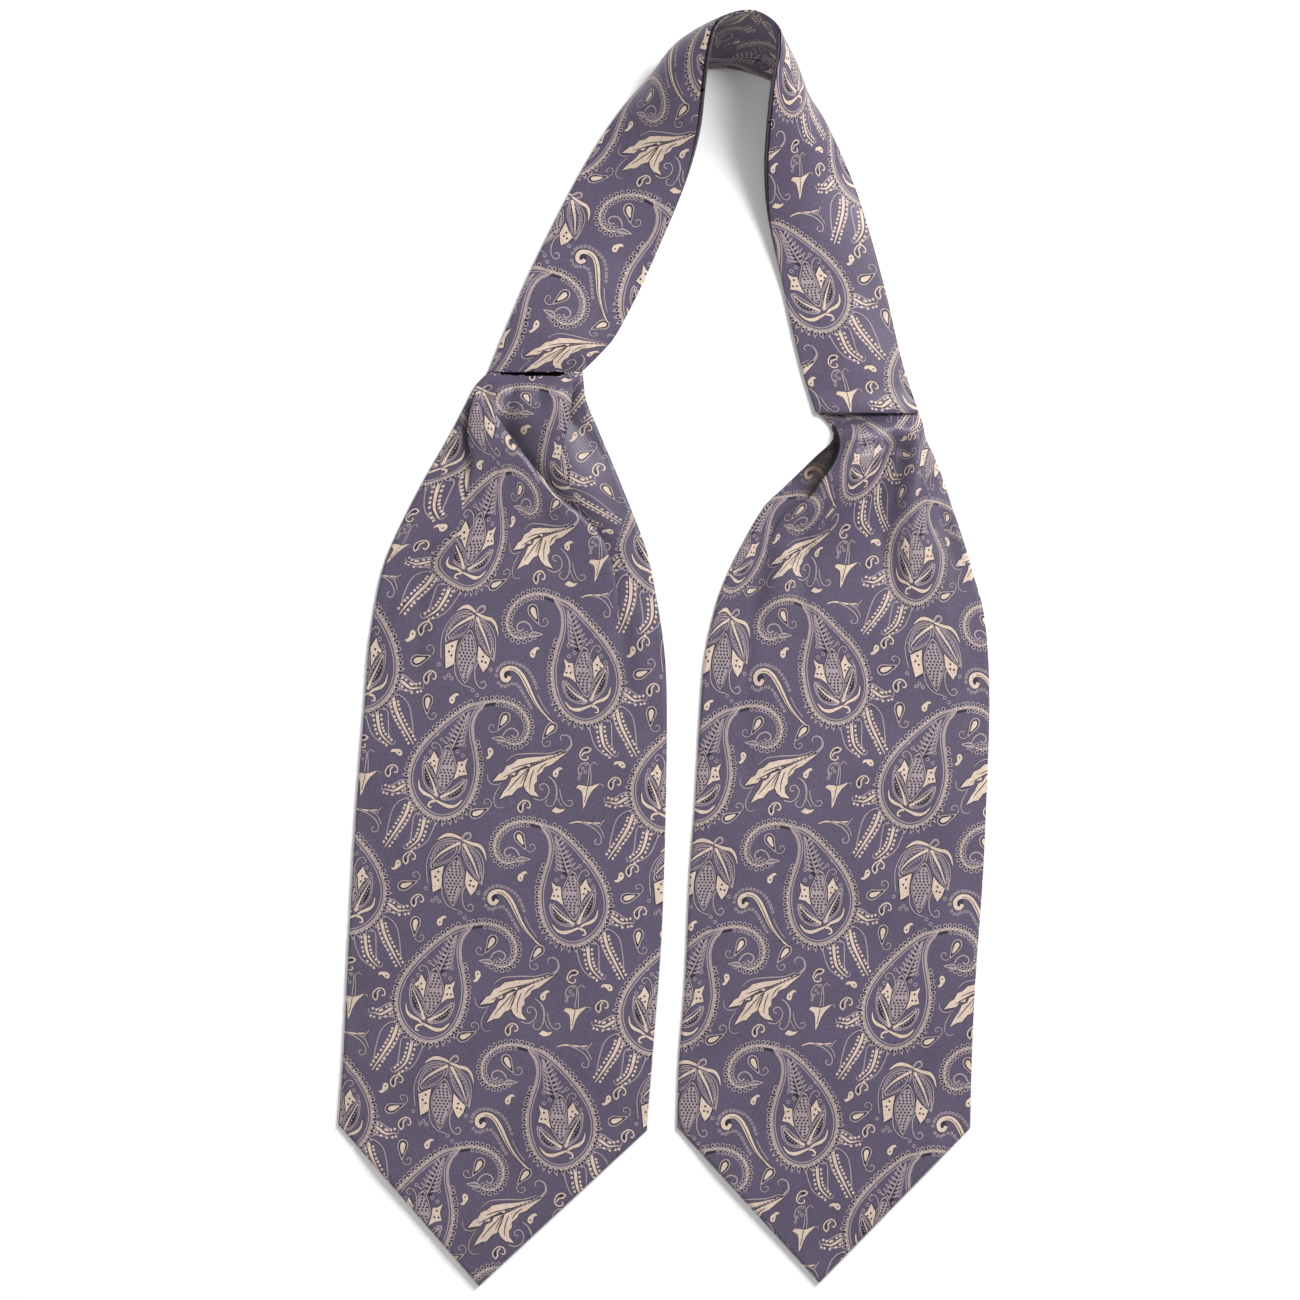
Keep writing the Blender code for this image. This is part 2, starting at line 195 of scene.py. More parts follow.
curl = Drawing()
curl.line([(0.2, -2.6), (-1.3, -1.0), (-1.3, 1.2), (0.1, 3.0), (2.0, 4.0), (4.0, 3.4), (5.0, 1.6), (4.4, 0.0), (3.2, 0.2)],
          0.7, CREAM, step=0.9, shade=0.25)
curl.line([(0.2, -2.6), (1.2, -1.0), (1.0, 1.0), (1.6, 2.4), (2.4, 3.0)], 0.7, CREAM, step=1.0)
curl.patch([(0.0, -1.7), (-0.7, -0.6), (-0.5, 0.9), (0.3, 1.2), (0.6, -0.6)], SHADOW)


def petal(drawing, outline, rib, beads=1.3):
    """A pointed petal with lines that follow its edge, a cream rib, and rows of small beads."""
    drawing.nested(outline, ((1.0, LINE), (0.87, SHADOW), (0.8, LINE), (0.7, SHADOW)))
    for side in (-beads, beads):
        drawing.row(rib, 1.6, 0.46, LINE, side, 1.6)
    drawing.line(rib, (1.3, 0.9, 0.3), CREAM, 2.6)


def frond(drawing, outline, rib, offset=1.9):
    """An outer leaf: a cream rib, oval beads beside it, and a scalloped edge."""
    drawing.nested(outline, ((1.0, SHADOW), (0.9, GROUND)))
    drawing.line(outline, 0.6, LINE, 2.4, closed=True)
    for side in (-offset, offset):
        drawing.row(rib, 2.2, 0.72, CREAM, side, 2.0)
    drawing.line(rib, (1.7, 1.3, 0.4), CREAM, 2.2, shade=0.35)


# The paisley: a scalloped body with a fern, a pomegranate and base leaves in it, and
# a hooked scroll that opens from its tip to the left.
SCROLL = [(20.5, 28.6), (13.5, 30.0), (6.5, 29.3), (1.0, 26.4), (-2.6, 21.8), (-3.6, 16.6), (-2.2, 11.9), (1.0, 9.3),
          (4.8, 9.0), (8.3, 10.6)]
BODY = [(19.5, 28.0), (24.0, 27.6), (29.0, 25.0), (35.0, 20.3), (41.0, 14.5), (47.0, 7.6), (51.5, 0.5), (53.9, -7.0),
        (53.7, -14.5), (50.8, -21.5), (45.6, -27.0), (39.0, -29.8), (32.5, -28.8), (27.0, -24.8), (23.3, -18.5),
        (21.3, -11.0), (20.9, -3.5), (22.2, 4.0), (24.0, 11.0), (24.6, 18.0), (22.8, 24.0)]
paisley = Drawing()
for outline, rib in (
        ([(54.4, -12.4), (57.8, -12.0), (61.2, -14.0), (64.6, -16.6), (61.6, -19.2), (57.0, -18.6), (54.0, -16.6)],
         [(54.6, -14.0), (58.4, -15.8), (62.0, -18.0), (66.6, -17.2)]),
        ([(52.4, -21.4), (56.6, -21.6), (60.8, -25.0), (63.0, -31.6), (64.0, -42.0), (58.8, -38.8), (54.6, -33.6),
          (52.2, -27.4)], [(53.3, -22.8), (55.4, -29.6), (59.0, -36.4), (64.8, -46.0)]),
        ([(40.8, -30.4), (42.0, -38.0), (44.9, -43.2), (50.0, -46.3), (53.4, -45.4), (52.0, -41.0), (51.6, -35.6),
          (50.0, -28.6)], [(45.7, -30.1), (46.6, -36.4), (48.6, -42.0), (53.6, -46.6)])):
    frond(paisley, outline, rib)
paisley.line([(65.6, -17.4), (67.8, -17.6), (68.2, -15.4)], (0.6, 0.5, 0.3), LINE, 1.2)
paisley.line([(53.0, -46.4), (55.0, -46.2), (55.6, -44.2)], (0.6, 0.5, 0.3), LINE, 1.2)
# The fern is a bushy row of strokes on both sides of a stalk.
paisley.line([(27.0, 23.6), (29.6, 16.5), (32.5, 9.0), (34.6, 5.0)], (2.4, 5.0, 6.0), SHADOW, 2.5)
for k in range(8):
    y = 22.6 - 2.1 * k
    spread = 0.9 + 0.42 * k
    x = 27.7 + 0.66 * k
    for side, width in ((-1, 1.0), (-0.55, 0.6)):
        paisley.line([(x, y - 1.6), (x + side * spread, y - 0.4), (x + side * (spread + 0.9), y + 1.2)], (0.5, width, 0.4),
                     LINE, 1.3)
        paisley.line([(x + 0.5, y - 1.6), (x + 0.5 - side * spread, y - 0.5), (x + 0.9 - side * spread * 1.4, y + 1.0)],
                     (0.5, width, 0.4), LINE, 1.3)
paisley.line([(27.0, 23.6), (29.6, 16.5), (32.5, 9.0), (34.5, 4.0)], (0.4, 0.7, 0.8), LINE, 2.5)
for x, y in ((28.0, 7.0), (28.4, 1.8), (31.2, 3.6), (39.4, 9.4), (41.8, 12.0), (44.6, 2.6), (46.8, -0.4)):
    paisley.loop(x, y, 1.05)
petal(paisley, [(38.6, -20.4), (32.1, -14.0), (25.8, -9.9), (26.4, -15.4), (29.5, -19.4), (34.2, -21.2)],
      [(38.4, -19.8), (33.4, -17.2), (29.8, -14.5), (26.7, -11.2)])
petal(paisley, [(40.0, -20.0), (39.5, -16.1), (41.1, -10.3), (44.3, -5.5), (47.8, -1.4), (48.4, -7.6), (47.0, -13.4),
                (44.3, -17.0)], [(40.4, -19.4), (42.0, -14.4), (44.2, -9.6), (47.0, -4.0)])
POMEGRANATE = [(35.6, 6.0), (33.2, 0.8), (31.6, -4.5), (32.4, -9.4), (35.3, -14.0), (38.3, -17.0), (40.5, -11.9),
               (40.9, -6.3), (39.4, 0.2), (37.4, 5.0)]
paisley.nested(POMEGRANATE, ((1.16, SHADOW), (1.1, LINE), (1.0, SHADOW), (0.93, LINE)))
paisley.lattice(POMEGRANATE, SHADOW)
paisley.patch([(25.8, 0.7), (28.2, -1.3), (30.6, -1.5), (31.1, -6.2), (32.6, -11.0), (29.5, -8.6), (25.8, -7.8),
               (27.0, -3.6)], CREAM, smooth=False, shade=0.35)
paisley.patch([(42.9, 3.2), (44.3, -0.3), (46.2, -2.2), (43.2, -4.8), (41.2, -9.0), (40.9, -5.1), (40.3, -1.0)], CREAM,
              smooth=False, shade=0.35)
for x, y in ((28.6, -3.0), (27.5, -6.2), (29.5, -6.2), (42.7, -1.7), (44.3, -3.0), (42.2, -4.4)):
    paisley.dot(x, y, 0.62, SHADOW)
paisley.line([(40.8, -10.0), (38.9, -3.0), (39.0, 3.0), (40.6, 6.8), (43.0, 7.6), (44.3, 5.8), (43.2, 4.4), (42.2, 5.2)],
             0.6, LINE, 1.2, shade=0.25)
paisley.line([(27.6, -20.6), (30.3, -23.5), (33.8, -24.2), (37.2, -23.1), (40.8, -21.4)], (0.5, 1.9, 0.9), CREAM, 1.6,
             shade=0.35)
paisley.line([(41.1, -21.5), (43.3, -19.6), (46.7, -18.2), (49.1, -15.7), (49.7, -12.0)], (0.9, 1.7, 0.4), CREAM, 1.6,
             shade=0.35)
paisley.line([(41.0, -21.8), (43.6, -22.6), (44.2, -24.6), (42.6, -25.0)], (1.2, 1.0, 0.6), CREAM, 1.0, shade=0.25)
# The lace: chains of loops along both sides of the hook and outside the body.
paisley.line(SCROLL, (4.4, 4.4, 2.6), SHADOW, 2.4)
LACE = BODY[1:17] + [(21.2, 0.5), (22.4, 5.0), (23.6, 9.0)]
paisley.line(LACE, 3.4, SHADOW, 2.6, offset=1.0)
paisley.row(SCROLL + [(11.4, 12.0)], 2.5, 1.24, LINE, -1.75, looped=True)
paisley.row(SCROLL[1:], 2.3, 1.1, LINE, 1.7, 1.0, looped=True)
paisley.row(LACE, 2.7, 1.28, LINE, 2.1, 1.0, looped=True)
paisley.row(BODY[7:15], 2.7, 0.6, LINE, 3.7, 2.3)
paisley.line(BODY, 1.5, BAND, 2.6, closed=True, offset=0.3)
paisley.line(BODY, 0.55, LINE, 2.6, closed=True, offset=-1.3)
paisley.line(SCROLL, (1.5, 1.4, 1.0), BAND, 1.8)
paisley.row(BODY[1:17], 2.5, 0.5, CREAM, 1.1, 2.2)
paisley.row(SCROLL, 2.5, 0.5, CREAM, 0.0, 1.2)
paisley.line([(9.2, 12.6), (7.6, 15.4), (4.8, 16.8), (2.0, 15.6), (1.6, 13.4), (3.2, 12.2), (4.8, 13.4)], 0.9, LINE, 0.9,
             shade=0.25)
paisley.patch([(7.0, 10.0), (9.2, 12.6), (12.0, 12.4), (15.0, 11.4), (12.4, 10.2), (9.6, 9.4)], LINE, shade=0.3)
paisley.line([(8.6, 11.0), (11.0, 11.4), (13.2, 11.2)], 0.45, SHADOW, 2)

# The lotus seen from the side, which hangs between two paisleys.
lotus = Drawing()
lotus.line([(-35.8, -3.4), (-36.8, 3.4), (-36.6, 8.5), (-34.0, 15.0), (-29.4, 18.6), (-24.0, 19.6)], 0.55, LINE, 2,
           shade=0.25)
lotus.line([(-8.8, -2.8), (-8.2, 4.0), (-9.2, 10.0), (-12.6, 14.6), (-17.4, 17.4), (-20.0, 18.8)], 0.55, LINE, 2, shade=0.25)
lotus.nested([(-20.3, 18.4), (-25.9, 18.8), (-31.0, 17.0), (-33.9, 13.0), (-35.1, 7.6), (-34.6, 3.6), (-29.4, 6.2),
              (-23.9, 9.0), (-20.8, 13.0)], ((0.98, LINE), (0.88, SHADOW), (0.8, LINE), (0.71, GROUND)))
lotus.nested([(-19.6, 18.0), (-19.4, 12.2), (-16.7, 6.0), (-12.7, 1.4), (-8.9, -2.6), (-9.1, 5.0), (-11.0, 11.0),
              (-15.0, 15.6)], ((0.98, LINE), (0.87, SHADOW), (0.79, LINE), (0.69, GROUND)))
for rib in ([(-20.8, 17.6), (-25.7, 15.0), (-30.7, 11.4), (-34.3, 7.0)], [(-18.9, 17.2), (-16.2, 12.6), (-13.4, 7.6), (-10.2, -0.2)]):
    for side in (-1.9, 1.9):
        lotus.row(rib, 1.7, 0.5, LINE, side, 2.6)
    lotus.line(rib, (1.6, 1.2, 0.3), CREAM, 2.0, shade=0.35)
POD = [(-21.9, 10.6), (-25.2, 6.4), (-27.5, 1.4), (-27.3, -4.0), (-25.2, -9.6), (-22.7, -13.6), (-20.0, -8.2), (-18.0, -2.8),
       (-17.9, 1.6), (-19.4, 6.8)]
lotus.nested(POD, ((1.14, SHADOW), (1.08, LINE), (1.0, SHADOW), (0.94, LINE)))
lotus.lattice(POD, SHADOW)
lotus.patch([(-34.6, 2.8), (-28.2, 5.8), (-29.0, 0.4), (-28.8, -5.2), (-33.0, -7.8), (-33.8, -2.4)], CREAM, smooth=False,
            shade=0.35)
lotus.patch([(-16.9, 4.2), (-14.0, 0.8), (-10.6, -1.8), (-11.8, -5.6), (-14.0, -8.4), (-15.8, -5.6), (-17.2, -2.4)], CREAM,
            smooth=False, shade=0.35)
for x, y in ((-30.9, 2.6), (-32.2, 0.0), (-30.7, -1.6), (-14.4, -0.9), (-14.8, -3.2), (-12.9, -3.6)):
    lotus.dot(x, y, 0.65, SHADOW)
lotus.line([(-32.0, 18.6), (-28.6, 20.9), (-24.6, 21.2), (-20.0, 19.6)], (0.5, 2.0, 1.0), CREAM, 1.5, shade=0.35)
lotus.line([(-19.6, 19.2), (-15.2, 17.6), (-11.0, 16.6), (-8.6, 13.8), (-7.3, 9.8)], (1.1, 1.8, 0.3), CREAM, 1.5, shade=0.35)
lotus.line([(-20.0, 19.8), (-18.2, 22.4), (-16.2, 22.6), (-15.6, 20.6), (-17.6, 19.4)], (1.2, 1.3, 0.8), LINE, 1.0, shade=0.3)
lotus.line([(-16.8, -3.6), (-18.2, -7.0), (-17.8, -12.0), (-16.1, -15.3), (-13.8, -16.2), (-12.3, -14.6), (-13.5, -12.6),
            (-15.1, -13.6)], 0.7, LINE, 1.1, shade=0.25)
lotus.line([(-28.6, -4.6), (-28.2, -9.0), (-26.2, -12.9), (-23.0, -15.2), (-19.7, -16.0)], 0.6, LINE, 1.6, shade=0.25)
for x, y in ((-31.2, -10.6), (-32.9, -12.0), (-29.6, -12.2), (-18.8, -17.2), (-16.5, -19.6), (-36.6, -6.0), (-10.2, -6.8)):
    lotus.loop(x, y, 1.0)

# The feathered comma under the lotus.
feather = Drawing()
SPINE = [(-0.6, -9.6), (-1.8, -11.6), (-3.9, -11.2), (-4.7, -8.8), (-3.7, -6.7), (-1.2, -5.6), (1.8, -5.9), (4.6, -8.0),
         (7.1, -11.6), (9.6, -16.2), (12.4, -21.2), (15.6, -25.4), (19.2, -29.0), (22.6, -31.6)]
feather.dot(-2.4, -8.9, 2.2, SHADOW, 9)
feather.line(SPINE, (1.9, 2.5, 0.5), CREAM, 1.2, shade=0.4)
feather.line(SPINE[5:13], (0.3, 0.5, 0.3), SHADOW, 1.8, offset=-0.3)
feather.line([(13.6, -17.6), (16.2, -22.4), (20.2, -27.4)], 0.4, LINE, 3)
feather.row([(-7.4, -9.8), (-6.6, -6.2), (-3.8, -3.6), (-0.2, -2.8), (4.0, -3.7), (7.9, -5.9), (11.0, -10.0), (13.0, -14.4)],
            2.0, 0.85, LINE, looped=True)
feather.row([(-6.4, -12.8), (-3.8, -14.8), (-0.8, -13.6), (2.2, -13.0), (5.0, -15.4), (7.3, -19.0), (10.9, -24.6)], 2.0,
            0.85, LINE, looped=True)

# The flame-shaped leaf above the paisley's hook, with ragged lobes.
flame = Drawing()
flame.line([(0.0, 59.6), (4.0, 63.0), (12.0, 64.2), (21.0, 64.8), (27.0, 67.0)], (0.4, 0.8, 0.5), LINE, 2, shade=0.25)
flame.patch([(-6.4, 49.0), (-3.4, 53.0), (-1.4, 54.0), (0.2, 57.2), (3.0, 58.4), (5.4, 60.8), (10.4, 62.0), (18.0, 63.0),
             (25.4, 64.8), (30.4, 68.2), (24.6, 63.4), (17.0, 60.8), (11.6, 59.4), (12.2, 57.4), (9.0, 57.8), (8.4, 55.4),
             (5.0, 55.4), (4.6, 52.8), (1.6, 52.8), (0.2, 50.4)], CREAM, smooth=False, shade=0.35)
flame.patch([(11.6, 57.0), (6.8, 55.2), (5.6, 52.6), (3.0, 51.2), (1.6, 47.6), (-0.4, 44.6), (-2.6, 40.2), (1.2, 42.4),
             (3.6, 42.8), (6.2, 46.2), (8.6, 47.4), (9.4, 51.0)], CREAM, smooth=False, shade=0.35)
flame.patch([(12.0, 57.0), (10.4, 51.6), (9.2, 48.0), (10.6, 45.4), (13.0, 43.4), (17.4, 42.6), (14.8, 45.6), (14.4, 48.6),
             (15.8, 50.4), (15.6, 53.2), (18.2, 55.4), (19.0, 57.6), (22.6, 59.2), (26.4, 62.6), (30.4, 66.0), (25.4, 63.8),
             (20.0, 61.2), (15.4, 58.8)], CREAM, smooth=False, shade=0.35)
for cut in ([(2.6, 55.8), (7.0, 57.6), (12.6, 59.4)], [(-1.0, 51.6), (3.4, 54.0), (10.4, 58.0)],
            [(1.0, 44.4), (5.6, 50.2), (10.8, 56.4)], [(7.6, 48.8), (9.4, 53.0), (12.0, 57.6)],
            [(12.4, 46.0), (12.4, 50.8), (13.8, 56.0)], [(15.6, 54.4), (17.4, 57.6), (20.4, 60.0)]):
    flame.line(cut, (0.3, 0.6, 0.4), SHADOW, 2)
flame.row([(12.6, 58.4), (19.0, 61.4), (25.0, 64.0), (30.0, 67.0)], 2.0, 0.8, SHADOW)
flame.row([(12.6, 58.4), (19.0, 61.4), (25.0, 64.0), (30.0, 67.0)], 2.0, 0.42, LINE)
flame.line([(29.4, 66.4), (31.8, 69.6), (30.8, 73.4), (28.0, 74.6), (26.0, 73.2), (26.6, 71.6)], (1.6, 0.9, 0.6), LINE, 1.2,
           shade=0.25)
flame.line([(-9.0, 52.6), (-8.6, 49.6), (-6.8, 47.8), (-4.0, 47.6), (-1.6, 48.6)], (0.4, 0.6, 0.4), LINE, 1.5, shade=0.2)
flame.line([(-2.4, 47.4), (-4.8, 42.6), (-5.0, 38.2), (-2.8, 36.0), (-0.2, 36.6)], (0.4, 0.6, 0.4), LINE, 1.5, shade=0.2)
flame.line([(14.6, 41.8), (18.0, 41.0), (21.2, 43.0), (22.0, 46.8), (19.8, 49.4), (17.4, 48.6), (17.6, 46.6), (19.2, 46.4)],
           0.7, LINE, 1.2, shade=0.25)

# The bell on a stalk, the lily beside it, and the horn below them.
bell = Drawing()
bell.line([(21.0, 53.4), (23.8, 51.4), (25.8, 47.6), (25.8, 42.6), (25.0, 39.8)], (0.5, 1.1, 0.7), LINE, 2, shade=0.25)
bell.line([(27.4, 47.0), (28.2, 43.4), (30.0, 40.0), (32.6, 38.8), (34.4, 40.4), (33.6, 42.0), (31.6, 41.4)], 0.6, LINE, 1.5, shade=0.25)
bell.line([(25.4, 41.0), (24.0, 38.6), (21.8, 38.4), (20.6, 40.2), (21.4, 41.6)], 0.6, LINE, 1.2, shade=0.25)
bell.line([(26.4, 43.0), (27.6, 40.4), (29.0, 38.6)], 0.5, LINE, 2, shade=0.25)
bell.patch([(23.8, 36.0), (26.4, 35.0), (29.4, 36.0), (30.6, 37.6), (28.4, 37.0), (25.6, 38.0)], CREAM, 2, shade=0.3)

lily = Drawing()
lily.line([(41.0, 50.0), (41.4, 55.0), (41.4, 60.4)], 0.6, LINE, 3, shade=0.25)
lily.line([(42.6, 50.0), (42.6, 55.0), (42.0, 60.0), (43.6, 61.8), (45.4, 60.4)], 0.6, LINE, 3, shade=0.25)
lily.patch([(35.4, 48.4), (36.6, 49.8), (39.4, 49.6), (41.2, 49.2), (43.6, 49.8), (47.4, 51.2), (44.0, 47.8), (41.8, 44.0),
            (40.6, 40.0), (39.6, 38.0), (39.2, 42.0), (38.4, 46.6)], CREAM, 2, shade=0.3)
lily.line([(41.2, 49.0), (40.6, 44.0), (40.0, 41.0)], 0.4, SHADOW, 3)
lily.line([(46.8, 51.0), (48.8, 50.6), (48.6, 49.4)], 0.5, LINE, 1.5, shade=0.25)
lily.line([(41.2, 60.8), (38.6, 61.0), (36.4, 59.0), (36.0, 56.2), (37.2, 54.0)], 0.7, LINE, 1.5, shade=0.25)
for x, y in ((38.2, 58.2), (39.8, 60.4), (37.4, 55.6), (36.6, 53.2), (39.6, 56.6)):
    lily.loop(x, y, 0.9)

horn = Drawing()
horn.line([(33.2, 30.2), (37.0, 31.4), (43.0, 31.0), (48.4, 31.4)], (0.5, 1.0, 0.7), CREAM, 2, shade=0.3)
horn.line([(39.0, 31.2), (44.0, 29.4), (47.6, 26.8), (49.6, 23.4), (48.8, 20.8), (46.8, 20.6), (46.0, 22.4), (47.2, 23.2)],
          0.7, LINE, 1.5, shade=0.25)
horn.line([(44.0, 31.0), (48.8, 28.6), (50.8, 24.4)], 0.6, LINE, 2, shade=0.25)
horn.line([(46.6, 31.0), (48.2, 29.6), (49.2, 31.4), (50.6, 33.0)], 0.6, LINE, 1.2, shade=0.25)

repeat = Drawing()
repeat.add(paisley)
repeat.add(paisley, mirrored=True, to=(6.5, -52.0))
for flower in (lotus, feather, flame, bell, lily, horn):
    repeat.add(flower)
for x, y, turn, mirrored in ((8.6, 21.8, 28, False), (-2.1, -30.6, -24, True), (-47.4, -5.2, 108, False),
                             (-40.9, -23.6, -4, False), (-13.6, 32.6, 112, False), (21.2, 77.4, -38, False)):
    repeat.add(teardrop, turn, 0.95, mirrored, (x, y))
for x, y, turn, mirrored in ((10.4, 2.0, 0, False), (60.2, 5.6, 180, False), (57.6, 61.0, 40, True),
                             (-8.4, 64.0, 200, False), (25.0, 54.8, 0, False), (-28.6, -22.4, 0, False)):
    repeat.add(comma, turn, 1.15, mirrored, (x, y))
for x, y, turn, mirrored in ((-42.2, -13.0, 0, False), (52.8, 50.8, 0, False), (8.4, 36.8, 0, False),
                             (39.4, 67.4, 108, True), (-47.4, 8.0, 0, False)):
    repeat.add(curl, turn, 0.95, mirrored, (x, y))

mark_tones = [tone for tone, ring in repeat.marks]
mark_sizes = np.array([len(ring) for tone, ring in repeat.marks])
mark_starts = np.concatenate(([0], np.cumsum(mark_sizes)[:-1]))
mark_corners = np.array([corner for tone, ring in repeat.marks for corner in ring])


def woven_marks(low, high, laid_at, part_of, parts=1):
    """The marks of all repeats that show on a piece, laid where its cloth was laid.

    low and high are the span of cloth to look in. laid_at(corners, part) gives where cloth
    comes to lie, and part_of(points) the part of the piece that holds each point.
    """
    found = []
    spans = [range(int(np.floor((a - 70) / REPEAT)), int(np.ceil((b + 90) / REPEAT)) + 1) for a, b in zip(low, high)]
    for shift in ((REPEAT * across, REPEAT * along) for across in spans[0] for along in spans[1]):
        moved = mark_corners + shift
        if (moved.max(0) < low).any() or (moved.min(0) > high).any():
            continue
        for part in range(parts):
            laid = laid_at(moved, part)
            held = np.maximum.reduceat(part_of(laid) == part, mark_starts)
            for mark in np.nonzero(held)[0]:
                ring = laid[mark_starts[mark]:mark_starts[mark] + mark_sizes[mark]]
                if len(ring) <= 6:
                    reach = ring - ring.mean(0)
                    ring = ring[np.argsort(np.arctan2(reach[:, 1], reach[:, 0]))]
                elif crosses_itself(ring):
                    continue
                found.append((mark_tones[mark], part, ring))
    return found


def crosses_itself(ring):
    """Whether two edges of a ring cross, as cloth that is folded away can make them do."""
    ends = np.roll(ring, -1, 0)

    def sides(a, b, spot):
        return ((b - a)[:, None, 0] * (spot[None, :, 1] - a[:, None, 1])
                - (b - a)[:, None, 1] * (spot[None, :, 0] - a[:, None, 0])) > 0

    parted = sides(ring, ends, ring) != sides(ring, ends, ends)
    crossed = parted & parted.T
    apart = np.ones(crossed.shape, bool)
    for step in (-1, 0, 1):
        apart &= ~np.roll(np.eye(len(ring), dtype=bool), step, 1)
    return (crossed & apart).any()


def woven_plan(outline, cuts, spots, marks, part_of):
    """A cut piece in its plan, as triangles that each have one tone and lie in one part.

    cuts are lines that the triangles follow, and spots are points that they must have.
    """
    corners, edges, faces = [], [], []

    def add_ring(ring):
        ring = np.asarray(ring, float)
        after = np.roll(ring, -1, 0)
        if (ring[:, 0] * after[:, 1] - after[:, 0] * ring[:, 1]).sum() < 0:
            ring = ring[::-1]
        start = len(corners)
        corners.extend(ring.tolist())
        faces.append(list(range(start, start + len(ring))))

    add_ring(outline)
    for tone, part, ring in marks:
        add_ring(ring)
    for cut in cuts:
        start = len(corners)
        corners.extend([list(point) for point in cut])
        edges.extend((start + k, start + k + 1) for k in range(len(cut) - 1))
    corners.extend(np.asarray(spots, float).tolist())
    points, _, triangles, _, _, sources = delaunay_2d_cdt(corners, edges, faces, 1, 0.004, True)
    kept = [k for k, source in enumerate(sources) if 0 in source]
    triangles = np.array([triangles[k] for k in kept])
    used, triangles = np.unique(triangles, return_inverse=True)
    triangles = triangles.reshape(-1, 3)
    points = np.array([tuple(points[k]) for k in used])
    parts = part_of(points[triangles].mean(1))
    tones = np.full(len(kept), GROUND)
    for row, (k, part) in enumerate(zip(kept, parts)):
        for source in sorted(sources[k], reverse=True):
            if source and marks[source - 1][1] == part:
                tones[row] = marks[source - 1][0]
                break
    return points, triangles, tones, parts


def rim_of(triangles):
    """The open edge of a set of triangles as one ring of points, the way the triangles run."""
    directed = {(row[k], row[(k + 1) % 3]) for row in triangles.tolist() for k in range(3)}
    following = {start: end for start, end in directed if (end, start) not in directed}
    ring = [min(following)]
    while following[ring[-1]] != ring[0]:
        ring.append(following[ring[-1]])
    return ring


def hidden_plan(rim, cuts, spots):
    """Plain triangles that fill a rim. The rim's own points come first, then the new ones."""
    corners, edges = [list(point) for point in rim], []
    for cut in cuts:
        start = len(corners)
        corners.extend([list(point) for point in cut])
        edges.extend((start + k, start + k + 1) for k in range(len(cut) - 1))
    corners.extend(np.asarray(spots, float).tolist())
    points, _, faces, ids, _, sources = delaunay_2d_cdt(corners, edges, [list(range(len(rim)))], 1, 0.0005, True)
    faces = [face for face, source in zip(faces, sources) if 0 in source]
    number_of, new = {}, []
    for k in sorted({corner for face in faces for corner in face}):
        own = [found for found in ids[k] if found < len(rim)]
        number_of[k] = own[0] if own else len(rim) + len(new)
        if not own:
            new.append(tuple(points[k]))
    return np.array(new), [[number_of[corner] for corner in face] for face in faces]


def cloth_object(name, shown, hidden, rim, upward):
    """A closed thin shell of the silk, in metres.

    shown is the woven side as points, normals, map, faces, tones and painted fold shade, and
    hidden the other side as points, normals, the rim's map, its own map and faces, numbered
    from the rim as hidden_plan gives them.
    """
    points, normals, shown_map, faces, tones, shades = shown
    new_points, new_normals, rim_map, new_map, hidden_faces = hidden
    first_new = len(points)
    rename = list(rim) + list(range(first_new, first_new + len(new_points)))
    hidden_spots = np.vstack((rim_map, new_map))
    turned = [list(reversed(face)) for face in hidden_faces]
    all_faces = faces + [[rename[corner] for corner in face] for face in turned]
    corner_map = np.vstack([shown_map] + [hidden_spots[face] for face in turned])
    if not upward:
        all_faces = [list(reversed(face)) for face in all_faces]
        sizes = np.array([len(face) for face in all_faces])
        ends = np.cumsum(sizes)
        corner_map = np.vstack([corner_map[end - size:end][::-1] for end, size in zip(ends, sizes)])
    mesh = bpy.data.meshes.new(name)
    mesh.from_pydata((np.vstack((points, new_points)) * 0.001).tolist(), [], all_faces)
    all_tones = list(tones) + [REVERSE] * len(hidden_faces)
    mesh.attributes.new("tone", "FLOAT", "FACE").data.foreach_set("value", np.asarray(all_tones, float))
    # painted shade of the folds on the woven side; the hidden side has none
    dimmed = np.concatenate((shades, np.zeros(len(new_points))))
    mesh.attributes.new("fold_shade", "FLOAT", "POINT").data.foreach_set("value", dimmed)
    mesh.uv_layers.new(name="OFBake").uv.foreach_set("vector", corner_map.astype(np.float32).ravel())
    mesh.shade_smooth()
    mesh.normals_split_custom_set_from_vertices(np.vstack((normals, new_normals)).tolist())
    mesh.materials.append(paisley_silk)
    piece = bpy.data.objects.new(name, mesh)
    bpy.context.collection.objects.link(piece)
    return piece


def eased(share):
    """0 to 1 with a soft start and end."""
    share = np.clip(share, 0.0, 1.0)
    return share * share * (3 - 2 * share)


def rounded(share):
    """0 to 1 on a quarter of a circle, steep first."""
    return np.sqrt(1 - (1 - np.clip(share, 0.0, 1.0)) ** 2)


def add_node(tree, kind, settings=None, **links):
    """One node with its settings and input links. A link is a socket, or a value."""
    node = tree.nodes.new(kind)
    for name, value in (settings or {}).items():
        setattr(node, name, value)
    for name, value in links.items():
        numbered = name[0] == "i" and name[1:].isdigit()
        socket = node.inputs[int(name[1:])] if numbered else node.inputs[name.replace("_", " ")]
        if isinstance(value, bpy.types.NodeSocket):
            tree.links.new(value, socket)
        else:
            socket.default_value = value
    return node


